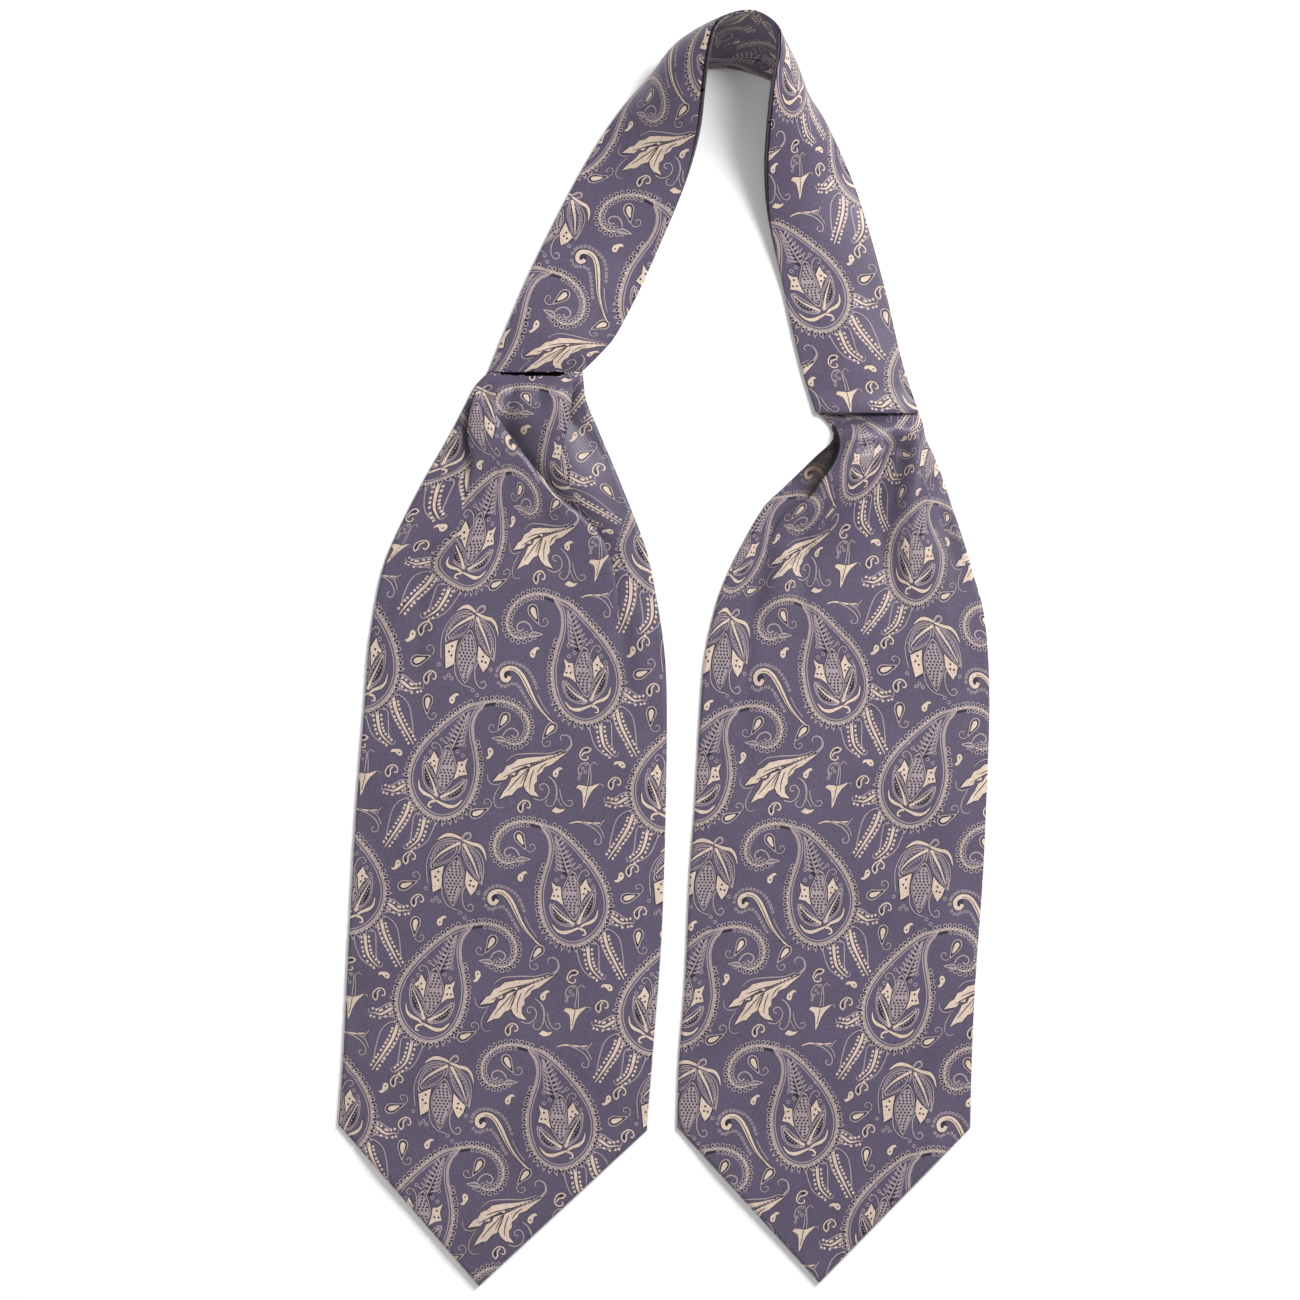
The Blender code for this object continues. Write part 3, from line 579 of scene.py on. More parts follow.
def colour(code):
    """An sRGB hex colour as a linear one."""
    parts = [int(code[k:k + 2], 16) / 255 for k in (1, 3, 5)]
    return [part / 12.92 if part <= 0.04045 else ((part + 0.055) / 1.055) ** 2.4 for part in parts] + [1.0]


# Jacquard silk, woven with a satin ground and figures in raised weft floats. The satin
# has a soft sheen and the figures are duller. Its threads are finer than a picture can
# show, so the ribs are drawn 0.7 mm apart. Where the cloth is turned over, its reverse
# is browner, and painted shade darkens it; the brown grows with that painted shade.
TONES = {GROUND: "#50475C", SHADOW: "#211C2D", LINE: "#93868A", BAND: "#988986", CREAM: "#C3AF9F", REVERSE: "#3E3640"}
paisley_silk = bpy.data.materials.new("jacquard_silk_paisley")
paisley_silk.use_nodes = True
silk = paisley_silk.node_tree
silk.nodes.clear()
tone_of = add_node(silk, "ShaderNodeAttribute", {"attribute_name": "tone"})
place = add_node(silk, "ShaderNodeTexCoord")
# tones from 10 up are the same tones on the cloth's turned reverse
turned_over = add_node(silk, "ShaderNodeMath", {"operation": "GREATER_THAN"}, i0=tone_of.outputs["Fac"], i1=9.5)
plain_tone = add_node(silk, "ShaderNodeMath", {"operation": "MODULO"}, i0=tone_of.outputs["Fac"], i1=10.0)
tone_share = add_node(silk, "ShaderNodeMath", {"operation": "MULTIPLY_ADD"}, i0=plain_tone.outputs[0], i1=1 / 6, i2=1 / 12)
tone_colour = add_node(silk, "ShaderNodeValToRGB", Fac=tone_share.outputs[0])
tone_colour.color_ramp.interpolation = "CONSTANT"
while len(tone_colour.color_ramp.elements) < len(TONES):
    tone_colour.color_ramp.elements.new(0.5)
for number, element in enumerate(tone_colour.color_ramp.elements):
    element.position = number / 6
    element.color = colour(TONES[number])
cloudiness = add_node(silk, "ShaderNodeTexNoise", Vector=place.outputs["Object"], Scale=34.0, Detail=3.0)
slub = add_node(silk, "ShaderNodeTexNoise", Vector=place.outputs["Object"], Scale=700.0, Detail=2.0)
uneven = add_node(silk, "ShaderNodeMath", {"operation": "MULTIPLY_ADD"}, i0=cloudiness.outputs["Fac"], i1=0.4, i2=0.46)
uneven = add_node(silk, "ShaderNodeMath", {"operation": "MULTIPLY_ADD"}, i0=slub.outputs["Fac"], i1=0.68,
                  i2=uneven.outputs[0])
tinted = add_node(silk, "ShaderNodeMix", {"data_type": "RGBA", "blend_type": "MULTIPLY"}, Factor=1.0)
# painted shade: the fold_shade of a blade darkens the colour of its deep folds
fold_shade = add_node(silk, "ShaderNodeAttribute", {"attribute_name": "fold_shade"})
lit = add_node(silk, "ShaderNodeMath", {"operation": "SUBTRACT"}, i0=1.0, i1=fold_shade.outputs["Fac"])
uneven = add_node(silk, "ShaderNodeMath", {"operation": "MULTIPLY"}, i0=uneven.outputs[0], i1=lit.outputs[0])
silk.links.new(tone_colour.outputs["Color"], tinted.inputs[6])
silk.links.new(uneven.outputs[0], tinted.inputs[7])
# the turned reverse's brown is mixed in as far as the painted fold shade reaches, so it is partly painted shade
browned = add_node(silk, "ShaderNodeMath", {"operation": "MULTIPLY_ADD", "use_clamp": True},
                   i0=fold_shade.outputs["Fac"], i1=2.5, i2=-0.35)
browned = add_node(silk, "ShaderNodeMath", {"operation": "MULTIPLY"}, i0=browned.outputs[0],
                   i1=turned_over.outputs[0])
reversed_cloth = add_node(silk, "ShaderNodeMix", {"data_type": "RGBA", "blend_type": "MULTIPLY"},
                          Factor=browned.outputs[0])
silk.links.new(tinted.outputs[2], reversed_cloth.inputs[6])
reversed_cloth.inputs[7].default_value = colour("#A98F7C")
ribs = add_node(silk, "ShaderNodeTexWave", {"wave_type": "BANDS", "bands_direction": "DIAGONAL"},
                Vector=place.outputs["Object"], Scale=450.0, Distortion=0.6)
relief = add_node(silk, "ShaderNodeMath", {"operation": "MULTIPLY_ADD"}, i0=slub.outputs["Fac"], i1=0.7,
                  i2=ribs.outputs["Fac"])
raised = add_node(silk, "ShaderNodeMath", {"operation": "MULTIPLY_ADD"}, i0=plain_tone.outputs[0], i1=0.4,
                  i2=relief.outputs[0])
bump = add_node(silk, "ShaderNodeBump", Strength=0.16, Distance=0.0003, Height=raised.outputs[0])
gloss = add_node(silk, "ShaderNodeMapRange", Value=plain_tone.outputs[0])
for socket, value in (("From Min", 0.0), ("From Max", 4.0), ("To Min", 0.44), ("To Max", 0.6)):
    gloss.inputs[socket].default_value = value
shader = add_node(silk, "ShaderNodeBsdfPrincipled", Base_Color=reversed_cloth.outputs[2],
                  Roughness=gloss.outputs["Result"], Normal=bump.outputs["Normal"], Sheen_Weight=0.12,
                  Sheen_Roughness=0.4)
shader.inputs["Specular IOR Level"].default_value = 0.4
surface = add_node(silk, "ShaderNodeOutputMaterial", Surface=shader.outputs["BSDF"])

# The left blade: a front and a back panel of the same silk, seamed down the sides and
# turned, with the front's top pleated into the neckband. A pleat line runs down from
# the seam, and the cloth on its high side lies over the cloth on its low side.
CLOTH = 1.2             # wall of one layer, silk with its interlining
LAYER = 1.5             # height at which the front panel starts
CROWN = 1.6             # softness of a front panel between its seamed edges
CROWN_REACH = 22.0      # from an edge to the full crown
BULK, BULK_REACH = 3.4, 110.0           # gathered cloth lifts the top of a blade
SEAM_REACH = 9.0        # pleats rise from nothing over this length below the band
FADE_LENGTH = 12.0      # over which a pleat starts from nothing
EDGE_ROLL = 2.2         # width of the rounded edge
FRONT_EDGE, BACK_EDGE = 1.25, 1.05      # heights at which the two panels meet in the seam
LIP, LIP_WIDTH = 2.6, 2.6               # drop and width of a pleat's rounded lip
HOLLOW, HOLLOW_WIDTH = 2.2, 5.0         # beside the lip, on the low side
TUCKED = 1.6            # how far the low side runs in under the lip
# painted shade: how much creases, the low sides of pleats and the turned cloth darken the colour
CREASE_SHADE, PLEAT_SHADE, TURNED_SHADE = 0.13, 0.6, 0.55
TURNED_FROM, TURNED_TO = (59, 78), (80, 99)     # painted shade on the turned cloth grows between these
REVERSE_FROM = 0.3      # share of that way at which its reverse shows
TILT = radians(3.24)    # of the cloth in the blades

# shift is how far a pleat moved the cloth of each part sideways, and from where up.
Pleat = namedtuple("Pleat", "height width high path end shift shift_from shift_length")
Crease = namedtuple("Crease", "height width path")
Blade = namedtuple("Blade", "side rows tip corner_drop pleats creases turned seam_dip origin shear pins sway span")


def edge_line(blade, column, spacing=2.4):
    """Points down a blade's left or right edge, on a smooth curve through its table."""
    heights, places = [row[0] for row in blade.rows], [row[column] for row in blade.rows]
    last = len(heights) - 1
    points = []
    slopes = []
    for k in range(last + 1):
        above, below = max(k - 1, 0), min(k + 1, last)
        slopes.append((places[above] - places[below]) / (heights[above] - heights[below]))
    for k in range(last):
        reach = heights[k + 1] - heights[k]
        steps = max(round(abs(reach) / spacing), 1)
        for t in (step / steps for step in range(steps)):
            points.append(((2 * t ** 3 - 3 * t * t + 1) * places[k] + (t ** 3 - 2 * t * t + t) * slopes[k] * reach
                           + (3 * t * t - 2 * t ** 3) * places[k + 1] + (t ** 3 - t * t) * slopes[k + 1] * reach,
                           heights[k] + reach * t))
    return points + [(places[last], heights[last])]


def even_steps(ends, spacing=2.4):
    """Points along straight lines from end to end, without the last one."""
    points = []
    for (ax, ay), (bx, by) in zip(ends, ends[1:]):
        steps = max(round(hypot(bx - ax, by - ay) / spacing), 1)
        points += [(ax + (bx - ax) * step / steps, ay + (by - ay) * step / steps) for step in range(steps)]
    return points


def blade_outline(blade):
    left, right = edge_line(blade, 1), edge_line(blade, 2)
    right[-1] = (right[-1][0], right[-1][1] - blade.corner_drop)
    return left[:-1] + even_steps([left[-1], blade.tip, right[-1]]) + right[:0:-1] + even_steps([right[0], left[0]])


def rooms(blade, points):
    """How far points lie inside a blade's sides, and inside its whole sewn outline."""
    x, y = points[:, 0], points[:, 1]
    sides = []
    for column, inward in ((1, 1), (2, -1)):
        edge = np.array(edge_line(blade, column))[::-1]
        place = np.interp(y, edge[:, 1], edge[:, 0])
        lean = (np.interp(y + 1, edge[:, 1], edge[:, 0]) - np.interp(y - 1, edge[:, 1], edge[:, 0])) / 2
        sides.append((x - place) * inward / np.sqrt(1 + lean ** 2))
    foot_y = blade.rows[-1][0]
    ends = ((blade.rows[-1][1], foot_y), blade.tip, (blade.rows[-1][2], foot_y - blade.corner_drop))
    for (ax, ay), (bx, by) in zip(ends, ends[1:]):
        sides.append(((bx - ax) * (y - ay) - (by - ay) * (x - ax)) / hypot(bx - ax, by - ay))
    return np.maximum(np.minimum(sides[0], sides[1]), 0), np.maximum(np.minimum.reduce(sides), 0)


def beside(path, points):
    """Distance of points from a path, and the length walked down it to the nearest place."""
    x, y = points[:, 0], points[:, 1]
    best, walked, before = np.full(len(x), 1e9), np.zeros(len(x)), 0.0
    for (ax, ay), (bx, by) in zip(path, path[1:]):
        length = hypot(bx - ax, by - ay)
        along = np.clip(((x - ax) * (bx - ax) + (y - ay) * (by - ay)) / length, 0, length)
        distance = np.hypot(x - ax - (bx - ax) * along / length, y - ay - (by - ay) * along / length)
        nearer = distance < best
        best, walked = np.where(nearer, distance, best), np.where(nearer, before + along, walked)
        before += length
    return best, walked, before


def strength(walked, length):
    """How much of its height a crease has along its path."""
    return eased((1 - walked / length) * 1.25) * eased(walked / FADE_LENGTH)


def full_line(pleat):
    """A pleat's line with its unseen ends: up through the seam and down to where it has gone."""
    (ax, ay) = pleat.path[0]
    return [(ax, ay + 60.0)] + smooth_path(pleat.path, 1.6) + list(pleat.end)


def parts_of(blade, points):
    """The number of pleat lines that lie to the left of each point."""
    total = np.zeros(len(points), int)
    for pleat in blade.pleats:
        line = np.array(full_line(pleat))[::-1]
        total += points[:, 0] > np.interp(points[:, 1], line[:, 1], line[:, 0])
    return total


def front_height(blade, points, parts, lip=LIP):
    """Height of the upper side of a front panel."""
    side_room, room = rooms(blade, points)
    down = blade.rows[0][0] - points[:, 1]
    rise = (CROWN + BULK * eased(1 - down / BULK_REACH)) * eased(side_room / CROWN_REACH)
    hold = eased(side_room / 4.0 + 0.25)
    for crease in blade.creases:
        distance, walked, length = beside(smooth_path(crease.path, 4.0), points)
        rise = rise + crease.height * strength(walked, length) * np.exp(-(distance / crease.width) ** 2) * hold
    for number, pleat in enumerate(blade.pleats):
        distance, walked, length = beside(smooth_path(pleat.path, 1.6), points)
        over = (parts > number) == (pleat.high == "right")
        fold = min(pleat.height, lip) * (1 - rounded(distance / LIP_WIDTH))
        high = pleat.height * np.exp(-(distance / pleat.width) ** 2) - fold
        low = -HOLLOW * np.exp(-(distance / HOLLOW_WIDTH) ** 2)
        rise = rise + strength(walked, length) * hold * np.where(over, high, low)
    for swing, length, lean, start in blade.sway:
        swell = np.sin(2 * pi * (points[:, 1] + lean * points[:, 0]) / length + start)
        rise = rise + swing * swell * eased(side_room / 15)
    inner = LAYER + CLOTH + np.maximum(rise, -0.25) * eased(down / SEAM_REACH)
    inner = inner - blade.seam_dip * (1 - eased(down / 5.0))
    return FRONT_EDGE + (inner - FRONT_EDGE) * rounded(room / EDGE_ROLL)


def front_shade(blade, points, parts):
    """How much painted shade darkens the cloth in a crease, on the low side of a pleat and on turned cloth, 0 to 1."""
    kept = np.ones(len(points))
    for crease in blade.creases:
        distance, walked, length = beside(smooth_path(crease.path, 4.0), points)
        deep = max(-crease.height, 0.0) * CREASE_SHADE
        kept = kept * (1 - deep * strength(walked, length) * np.exp(-(distance / crease.width) ** 2))
    for number, pleat in enumerate(blade.pleats):
        distance, walked, length = beside(smooth_path(pleat.path, 1.6), points)
        low = (parts > number) != (pleat.high == "right")
        near = 0.5 * np.exp(-(distance / 2.2) ** 2) + 0.5 * np.exp(-(distance / (0.5 * pleat.width)) ** 2)
        kept = kept * (1 - PLEAT_SHADE * strength(walked, length) * near * low)
    # painted shade on the turned cloth, deepening towards TURNED_TO
    if blade.turned:
        held = within(blade.turned, points) & (parts == 0)
        kept = kept * (1 - TURNED_SHADE * eased(turned_way(points)) * held)
    return 1 - kept


def turned_way(points):
    """How far points lie from where the turned cloth starts to where it is darkest, 0 to 1."""
    reach = np.subtract(TURNED_TO, TURNED_FROM)
    return np.clip((points - TURNED_FROM) @ reach / (reach @ reach), 0, 1)


def within(ring, points):
    """Which points lie inside a ring."""
    inside = np.zeros(len(points), bool)
    for (ax, ay), (bx, by) in zip(ring, ring[1:] + ring[:1]):
        crosses = (ay > points[:, 1]) != (by > points[:, 1])
        inside ^= crosses & (points[:, 0] < ax + (bx - ax) * (points[:, 1] - ay) / ((by - ay) or 1e-9))
    return inside


def slope_normals(height_of, points, parts, reach=0.35):
    """Smooth upward normals of a height over a plan."""
    step_x, step_y = np.array((reach, 0.0)), np.array((0.0, reach))
    dx = (height_of(points + step_x, parts) - height_of(points - step_x, parts)) / (2 * reach)
    dy = (height_of(points + step_y, parts) - height_of(points - step_y, parts)) / (2 * reach)
    normals = np.stack((-dx, -dy, np.ones(len(points))), 1)
    return normals / np.linalg.norm(normals, axis=1)[:, None]


def grid_spots(blade, step, low, high):
    """Points of an even grid inside a blade, between two heights."""
    xs = np.arange(min(row[1] for row in blade.rows), max(row[2] for row in blade.rows), step)
    ys = np.arange(low, high, step)
    spots = np.array([(x + (row % 2) * step / 2, y) for row, y in enumerate(ys) for x in xs])
    return spots[rooms(blade, spots)[1] > 2.6]


def moved_aside(line, distance):
    """A line moved to its left by a distance."""
    sides = [side_of(line, k, False) for k in range(len(line))]
    return [(x + nx * distance, y + ny * distance) for (x, y), (nx, ny) in zip(line, sides)]


def pull_of(pins):
    """A smooth field of movement through pins, each a place on the cloth and its movement."""
    places, moves = np.array([pin[:2] for pin in pins]), np.array([pin[2:] for pin in pins])
    count = len(places)

    def bending(a, b):
        square = ((a[:, None, :] - b[None, :, :]) ** 2).sum(2)
        return square * np.log(square + 1e-9) / 2

    flat = np.hstack((np.ones((count, 1)), places))
    system = np.block([[bending(places, places) + 60.0 * np.eye(count), flat], [flat.T, np.zeros((3, 3))]])
    weights = np.linalg.solve(system, np.vstack((moves, np.zeros((3, 2)))))

    def pull(points):
        plain = np.hstack((np.ones((len(points), 1)), points))
        return bending(points, places) @ weights[:count] + plain @ weights[count:]
    return pull


def unpleated(blade, corners):
    """Where cloth lies in the plan of a blade before its top is pleated."""
    shear = np.array(blade.shear)
    turn = np.array([[cos(TILT), sin(TILT)], [-sin(TILT), cos(TILT)]])
    return (corners @ shear[:, :2].T + shear[:, 2]) @ turn.T + np.array(blade.origin)


def pleated(blade):
    """A function that gives where cloth comes to lie on a blade's front, for each part."""
    def shifted(v, part):
        return sum(pleat.shift[part] * eased((v - pleat.shift_from) / pleat.shift_length) for pleat in blade.pleats)

    pins = []
    for part, u, v, x, y in blade.pins:
        spot = np.array([[u, v]], float)
        start = unpleated(blade, spot)[0]
        pins.append((u, v, x - start[0] - float(shifted(spot[:, 1], part)[0]), y - start[1]))
    pins += [(u, v, 0.0, 0.0) for u in range(-100, 121, 30) for v in range(-220, 106, 40)]
    pull = pull_of(pins)

    def laid_at(corners, part):
        placed = unpleated(blade, corners) + pull(corners)
        placed[:, 0] += shifted(corners[:, 1], part)
        return placed
    return laid_at


def blade_map(blade, plan, upper_half, hidden):
    """Places on the baked map: the woven side in two halves, with the hidden side above."""
    left, foot, top = min(row[1] for row in blade.rows), blade.tip[1], blade.rows[0][0]
    middle, size, margin = (foot + top) / 2, 345.0, 8.0
    if hidden:
        return np.stack(((plan[:, 1] - foot) * 0.0016 + 0.01, 0.73 + (plan[:, 0] - left) * 0.0016), 1)
    x = plan[:, 0] - left + 2.0 + np.where(upper_half, 0.0, 172.0)
    y = plan[:, 1] + margin - np.where(upper_half, middle, foot)
    return np.stack((x / size, y / size), 1)


def shown_places(blade, plan, faces):
    """The baked map of the woven side, for each corner of each face."""
    flat, sizes = np.concatenate(faces), np.array([len(face) for face in faces])
    upper = plan[flat, 1] > (blade.tip[1] + blade.rows[0][0]) / 2
    upper = np.logical_or.reduceat(upper, np.cumsum(sizes) - sizes)
    return blade_map(blade, plan[flat], np.repeat(upper, sizes), False)


def front_panel(blade):
    """A blade's front with its pattern, pleats and rounded edge."""
    def part_of(where):
        return parts_of(blade, where)

    def height_of(where, parts):
        return front_height(blade, where, parts)

    lines = [smooth_path(pleat.path, 1.6) for pleat in blade.pleats]
    cuts = [full_line(pleat) for pleat in blade.pleats]
    outline = blade_outline(blade)
    marks = woven_marks(*blade.span, pleated(blade), part_of, len(blade.pleats) + 1)
    spots = [grid_spots(blade, 3.4, -40.0, 141.0), grid_spots(blade, 7.0, -316.0, -40.0)]
    spots += [np.array(moved_aside(outline, inset)) for inset in (0.2, 0.7, 1.4, 2.3)]
    spots += [np.array(moved_aside(line, inset)) for line in lines for inset in (-4.0, -2.6, -1.3, -0.5, 0.5, 1.3, 2.6, 4.0)]
    spots = np.vstack(spots)
    spots = spots[rooms(blade, spots)[1] > 0.1]
    points, triangles, tones, parts = woven_plan(outline, cuts, spots, marks, part_of)

    if blade.turned:
        middles = points[triangles].mean(1)
        reversed_faces = within(blade.turned, middles) & (turned_way(middles) > REVERSE_FROM) & (parts == 0)
        tones = tones + 10 * reversed_faces

    # The two sides of a pleat get their own points along its line.
    split = np.zeros(len(points), bool)
    for line in lines:
        distance, walked, length = beside(line, points)
        split |= (distance < 0.02) & (strength(walked, length) > 0.03)
    number_of, faces = {}, []
    for corners, part in zip(triangles.tolist(), parts.tolist()):
        keys = [(corner, part if split[corner] else -1, part) for corner in corners]
        faces.append([number_of.setdefault(key[:2], (len(number_of), key[2]))[0] for key in keys])
    plan = points[[corner for corner, _ in number_of]].copy()
    plan_parts = np.array([part for _, part in number_of.values()])
    shown_plan = plan.copy()
    heights = height_of(plan, plan_parts)
    normals = slope_normals(height_of, plan, plan_parts)
    # painted shade of the creases and pleats, kept at each point
    shades = front_shade(blade, plan, plan_parts)
    is_split = split[[corner for corner, _ in number_of]]
    for number, (pleat, line) in enumerate(zip(blade.pleats, lines)):
        distance, walked, length = beside(line, shown_plan)
        low_side = (plan_parts > number) != (pleat.high == "right")
        for k in np.nonzero(is_split & (distance < 0.02) & low_side)[0]:
            nearest = int(np.argmin(np.hypot(*(np.array(line) - shown_plan[k]).T)))
            inward = 1 if pleat.high == "right" else -1
            share = float(strength(walked[k], length))
            plan[k] += np.array(side_of(line, nearest, False)) * inward * TUCKED * share

    # A riser joins the low side to the high side under the lip, in the darkest tone as painted shade.
    tones = list(tones)
    face_parts = {}
    for corners, part in zip(triangles.tolist(), parts.tolist()):
        for k in range(3):
            face_parts[(corners[k], corners[(k + 1) % 3])] = part
    for (start, end), part in face_parts.items():
        other = face_parts.get((end, start), part)
        if other <= part:
            continue
        near, far = ([number_of[(c, side if split[c] else -1)][0] for c in (start, end)] for side in (part, other))
        ring = [near[1], near[0]] + [far[k] for k in (0, 1) if far[k] != near[k]]
        if len(ring) > 2:
            faces.append(ring)
            tones.append(SHADOW)

    # The hidden side keeps one cloth's thickness below, and under a pleat it stays low.
    rim = rim_of(triangles)
    part_at = {corner: part for corners, part in zip(triangles.tolist(), parts.tolist()) for corner in corners}
    rim_numbers = [number_of[(c, part_at[c] if split[c] else -1)][0] for c in rim]
    under_spots = [grid_spots(blade, 6.0, -20.0, 141.0), grid_spots(blade, 14.0, -316.0, -20.0)]
    under_spots += [np.array(moved_aside(line, inset)) for line in lines for inset in (-3.0, 3.0)]
    under_spots = np.vstack(under_spots)
    under_spots = under_spots[rooms(blade, under_spots)[1] > 2.0]
    inside_cuts = [[spot for spot in line if rooms(blade, np.array([spot]))[1][0] > 1.0] for line in lines]
    under, under_faces = hidden_plan(points[rim], inside_cuts, under_spots)
    under_parts = part_of(under)
    under_heights = front_height(blade, under, under_parts, 0.0)
    for line in lines:
        near_line = beside(line, under)[0] < 2.9
        for other in range(len(blade.pleats) + 1):
            there = np.full(len(under), other)
            lower = np.minimum(under_heights, front_height(blade, under, there))
            under_heights = np.where(near_line, lower, under_heights)
    under_heights = np.minimum(under_heights, front_height(blade, under, under_parts)) - CLOTH
    shown_map = shown_places(blade, plan, faces)
    hidden = (np.hstack((under, under_heights[:, None])), np.tile((0.0, 0.0, -1.0), (len(under), 1)),
              blade_map(blade, points[rim], None, True), blade_map(blade, under, None, True), under_faces)
    shown = (np.hstack((plan, heights[:, None])), normals, shown_map, faces, tones, shades)
    return cloth_object(blade.side + "_front_silk", shown, hidden, rim_numbers, True)


def back_panel(blade):
    """A blade's flat back panel, with its pattern on the side that lies on the surface."""
    middle = (blade.rows[-1][1] + blade.rows[-1][2]) / 2

    def mirrored(corners, part):
        laid = unpleated(blade, corners)
        laid[:, 0] = 2 * middle - laid[:, 0]
        return laid

    def inside(where):
        return np.where(rooms(blade, where)[1] > 0, 0, 1)

    def whole(where):
        return np.zeros(len(where), int)

    def height_of(where, parts):
        return BACK_EDGE * (1 - rounded(rooms(blade, where)[1] / 1.8))

    outline = blade_outline(blade)
    spots = [grid_spots(blade, 12.0, -316.0, 141.0)]
    spots += [np.array(moved_aside(outline, inset)) for inset in (0.25, 0.9, 1.8)]
    spots = np.vstack(spots)
    spots = spots[rooms(blade, spots)[1] > 0.1]
    plan, triangles, tones, parts = woven_plan(outline, [], spots, woven_marks(*blade.span, mirrored, inside), whole)
    rim = rim_of(triangles)
    over, over_faces = hidden_plan(plan[rim], [], grid_spots(blade, 14.0, -316.0, 141.0))
    faces = triangles.tolist()
    shown_map = shown_places(blade, plan, faces)
    shown = (np.hstack((plan, height_of(plan, parts)[:, None])), -slope_normals(height_of, plan, parts), shown_map,
             faces, list(tones), np.zeros(len(plan)))
    hidden = (np.hstack((over, np.full((len(over), 1), CLOTH))), np.tile((0.0, 0.0, 1.0), (len(over), 1)),
              blade_map(blade, plan[rim], None, True), blade_map(blade, over, None, True), over_faces)
    return cloth_object(blade.side + "_back_silk", shown, hidden, rim, False)


def sewn_blade(blade):
    """Both panels of a blade, each in place of its solid."""
    for panel, build, below in (("back", back_panel, "floor"), ("front", front_panel, blade.side + "_back_silk")):
        piece = build(blade)
        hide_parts("blade_%s_%s" % (blade.side, panel))
        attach(piece, "root")


LEFT_BLADE = Blade(
    side="left",
    rows=[(140.7, -87.5, -40.7), (134.0, -94.0, -40.0), (126.5, -98.0, -39.0), (110.0, -106.5, -32.2),
          (84.5, -121.0, -21.5), (53.0, -136.5, -9.3), (36.0, -142.0, -5.3), (3.0, -147.5, 0.0), (-23.5, -149.5, 1.4),
          (-81.5, -154.0, 0.8), (-144.5, -157.5, -1.4), (-205.0, -160.5, -6.0), (-235.5, -162.8, -8.5)],
    tip=(-92.5, -316.4), corner_drop=3.0,
    pleats=[
        Pleat(4.5, 17.0, "right", [(-93, 133), (-97, 120), (-98, 108), (-96, 92), (-101, 70)],
              [(-107, 36), (-107, -340)], (30, 0, 0, 0), 150, 55),
        Pleat(4.5, 20.0, "left", [(-84, 119), (-73, 103), (-61, 88), (-51, 77), (-39, 67), (-30, 56), (-25, 42),
                                  (-23, 26), (-24, 5), (-23, -22)], [(-23, -340)], (0, 0, -9, -9), 128, 40),
        Pleat(5.5, 15.0, "left", [(-45, 139), (-46.5, 122), (-49.5, 106), (-52, 96), (-50, 88)],
              [(-45, 79), (-38.9, 66.9), (-30, 56), (-25, 42), (-23, 26), (-24, 5), (-23, -22), (-23, -340)],
              (0, 0, 0, -20), 168, 40),
    ],
    creases=[
        Crease(-1.2, 5.0, [(-112, 60), (-120, 32), (-122, 0), (-122, -50)]),
        Crease(2.0, 9.0, [(-68, 134), (-70, 122), (-72, 104)]),
        Crease(-1.8, 6.0, [(-80, 130), (-78, 116), (-66, 104), (-58, 92)]),
        Crease(-1.4, 4.0, [(-60, 141), (-61, 128), (-58, 112)]),
        Crease(1.2, 5.0, [(-53, 141), (-54, 126), (-57, 108)]),
        Crease(-0.9, 6.0, [(-58, 80), (-55, 62), (-56, 44)]),
        Crease(0.8, 8.0, [(-84, 92), (-92, 60), (-94, 24), (-92, -10)]),
        Crease(-1.6, 2.4, [(-74, 140), (-76, 126), (-83, 108)]),
        Crease(-1.3, 2.0, [(-86, 139), (-90, 126), (-92, 112)]),
        Crease(1.6, 4.0, [(-80, 140), (-84, 124), (-88, 106)]),
        Crease(-1.8, 3.0, [(-36, 124), (-30, 106), (-22, 84)]),
        Crease(-1.6, 7.0, [(-42, 128), (-40, 108), (-34, 84)]),
        Crease(-1.3, 5.0, [(-21, 22), (-18, -10), (-18, -60)]),
        Crease(-0.9, 5.0, [(-140, 30), (-143, -10), (-144, -60)]),
    ],
    turned=(), seam_dip=1.1, origin=(-82.0, -113.5), shear=[[1, 0, 0], [0, 1, 0]],
    # part of the front, place on the cloth, and where it comes to lie
    pins=[
        (1, 8, 143.5, -64.5, 32), (1, -21, 132.5, -94.8, 21.8), (1, -34, 138.5, -101.3, 30.5), (1, -5, 203, -75.2, 92.8),
        (1, -51, 161.5, -118.7, 49), (1, -40, 183, -101.3, 77), (1, 10, 163.5, -62.2, 53.3), (1, 40, 158.5, -33, 43.5),
        (1, 48, 137.5, -28.7, 24), (1, 53.5, 126, -22.2, 11), (0, -66.5, 202, -105.7, 92.3), (0, -66.5, 192, -114.3, 84.7),
        (0, -61.5, 177, -115.4, 66.8), (0, -59, 164, -124, 55.5), (0, -71.5, 161.5, -130.6, 54.4),
        (0, -63.5, 138.5, -136, 34.8), (1, -21, 244, -91.5, 133), (1, -14, 219, -87.2, 111.3), (1, -19, 206, -84.5, 97.2),
        (1, -2, 213, -76.3, 104.2), (1, 23, 192, -52.5, 77.1), (2, 8, 255, -66.6, 134), (2, 15, 234.5, -64.5, 119.4),
        (2, 18, 218, -62.3, 99.9), (2, 11, 225.5, -68.7, 111.3), (2, 29, 216, -53.3, 98.8), (2, 35, 198, -48.7, 81.5),
        (3, 61, 207, -41.7, 85.8), (3, 65.5, 218, -40, 98.8), (3, 70.5, 211, -33, 91.8), (3, 70, 199, -28.9, 81.5),
        (3, 60.5, 161.5, -24.3, 52.2),
    ],
    sway=[(0.25, 83.0, 0.4, 0.3), (0.2, 57.0, -0.7, 1.1)], span=((-105.0, -215.0), (115.0, 300.0)),
)
sewn_blade(LEFT_BLADE)
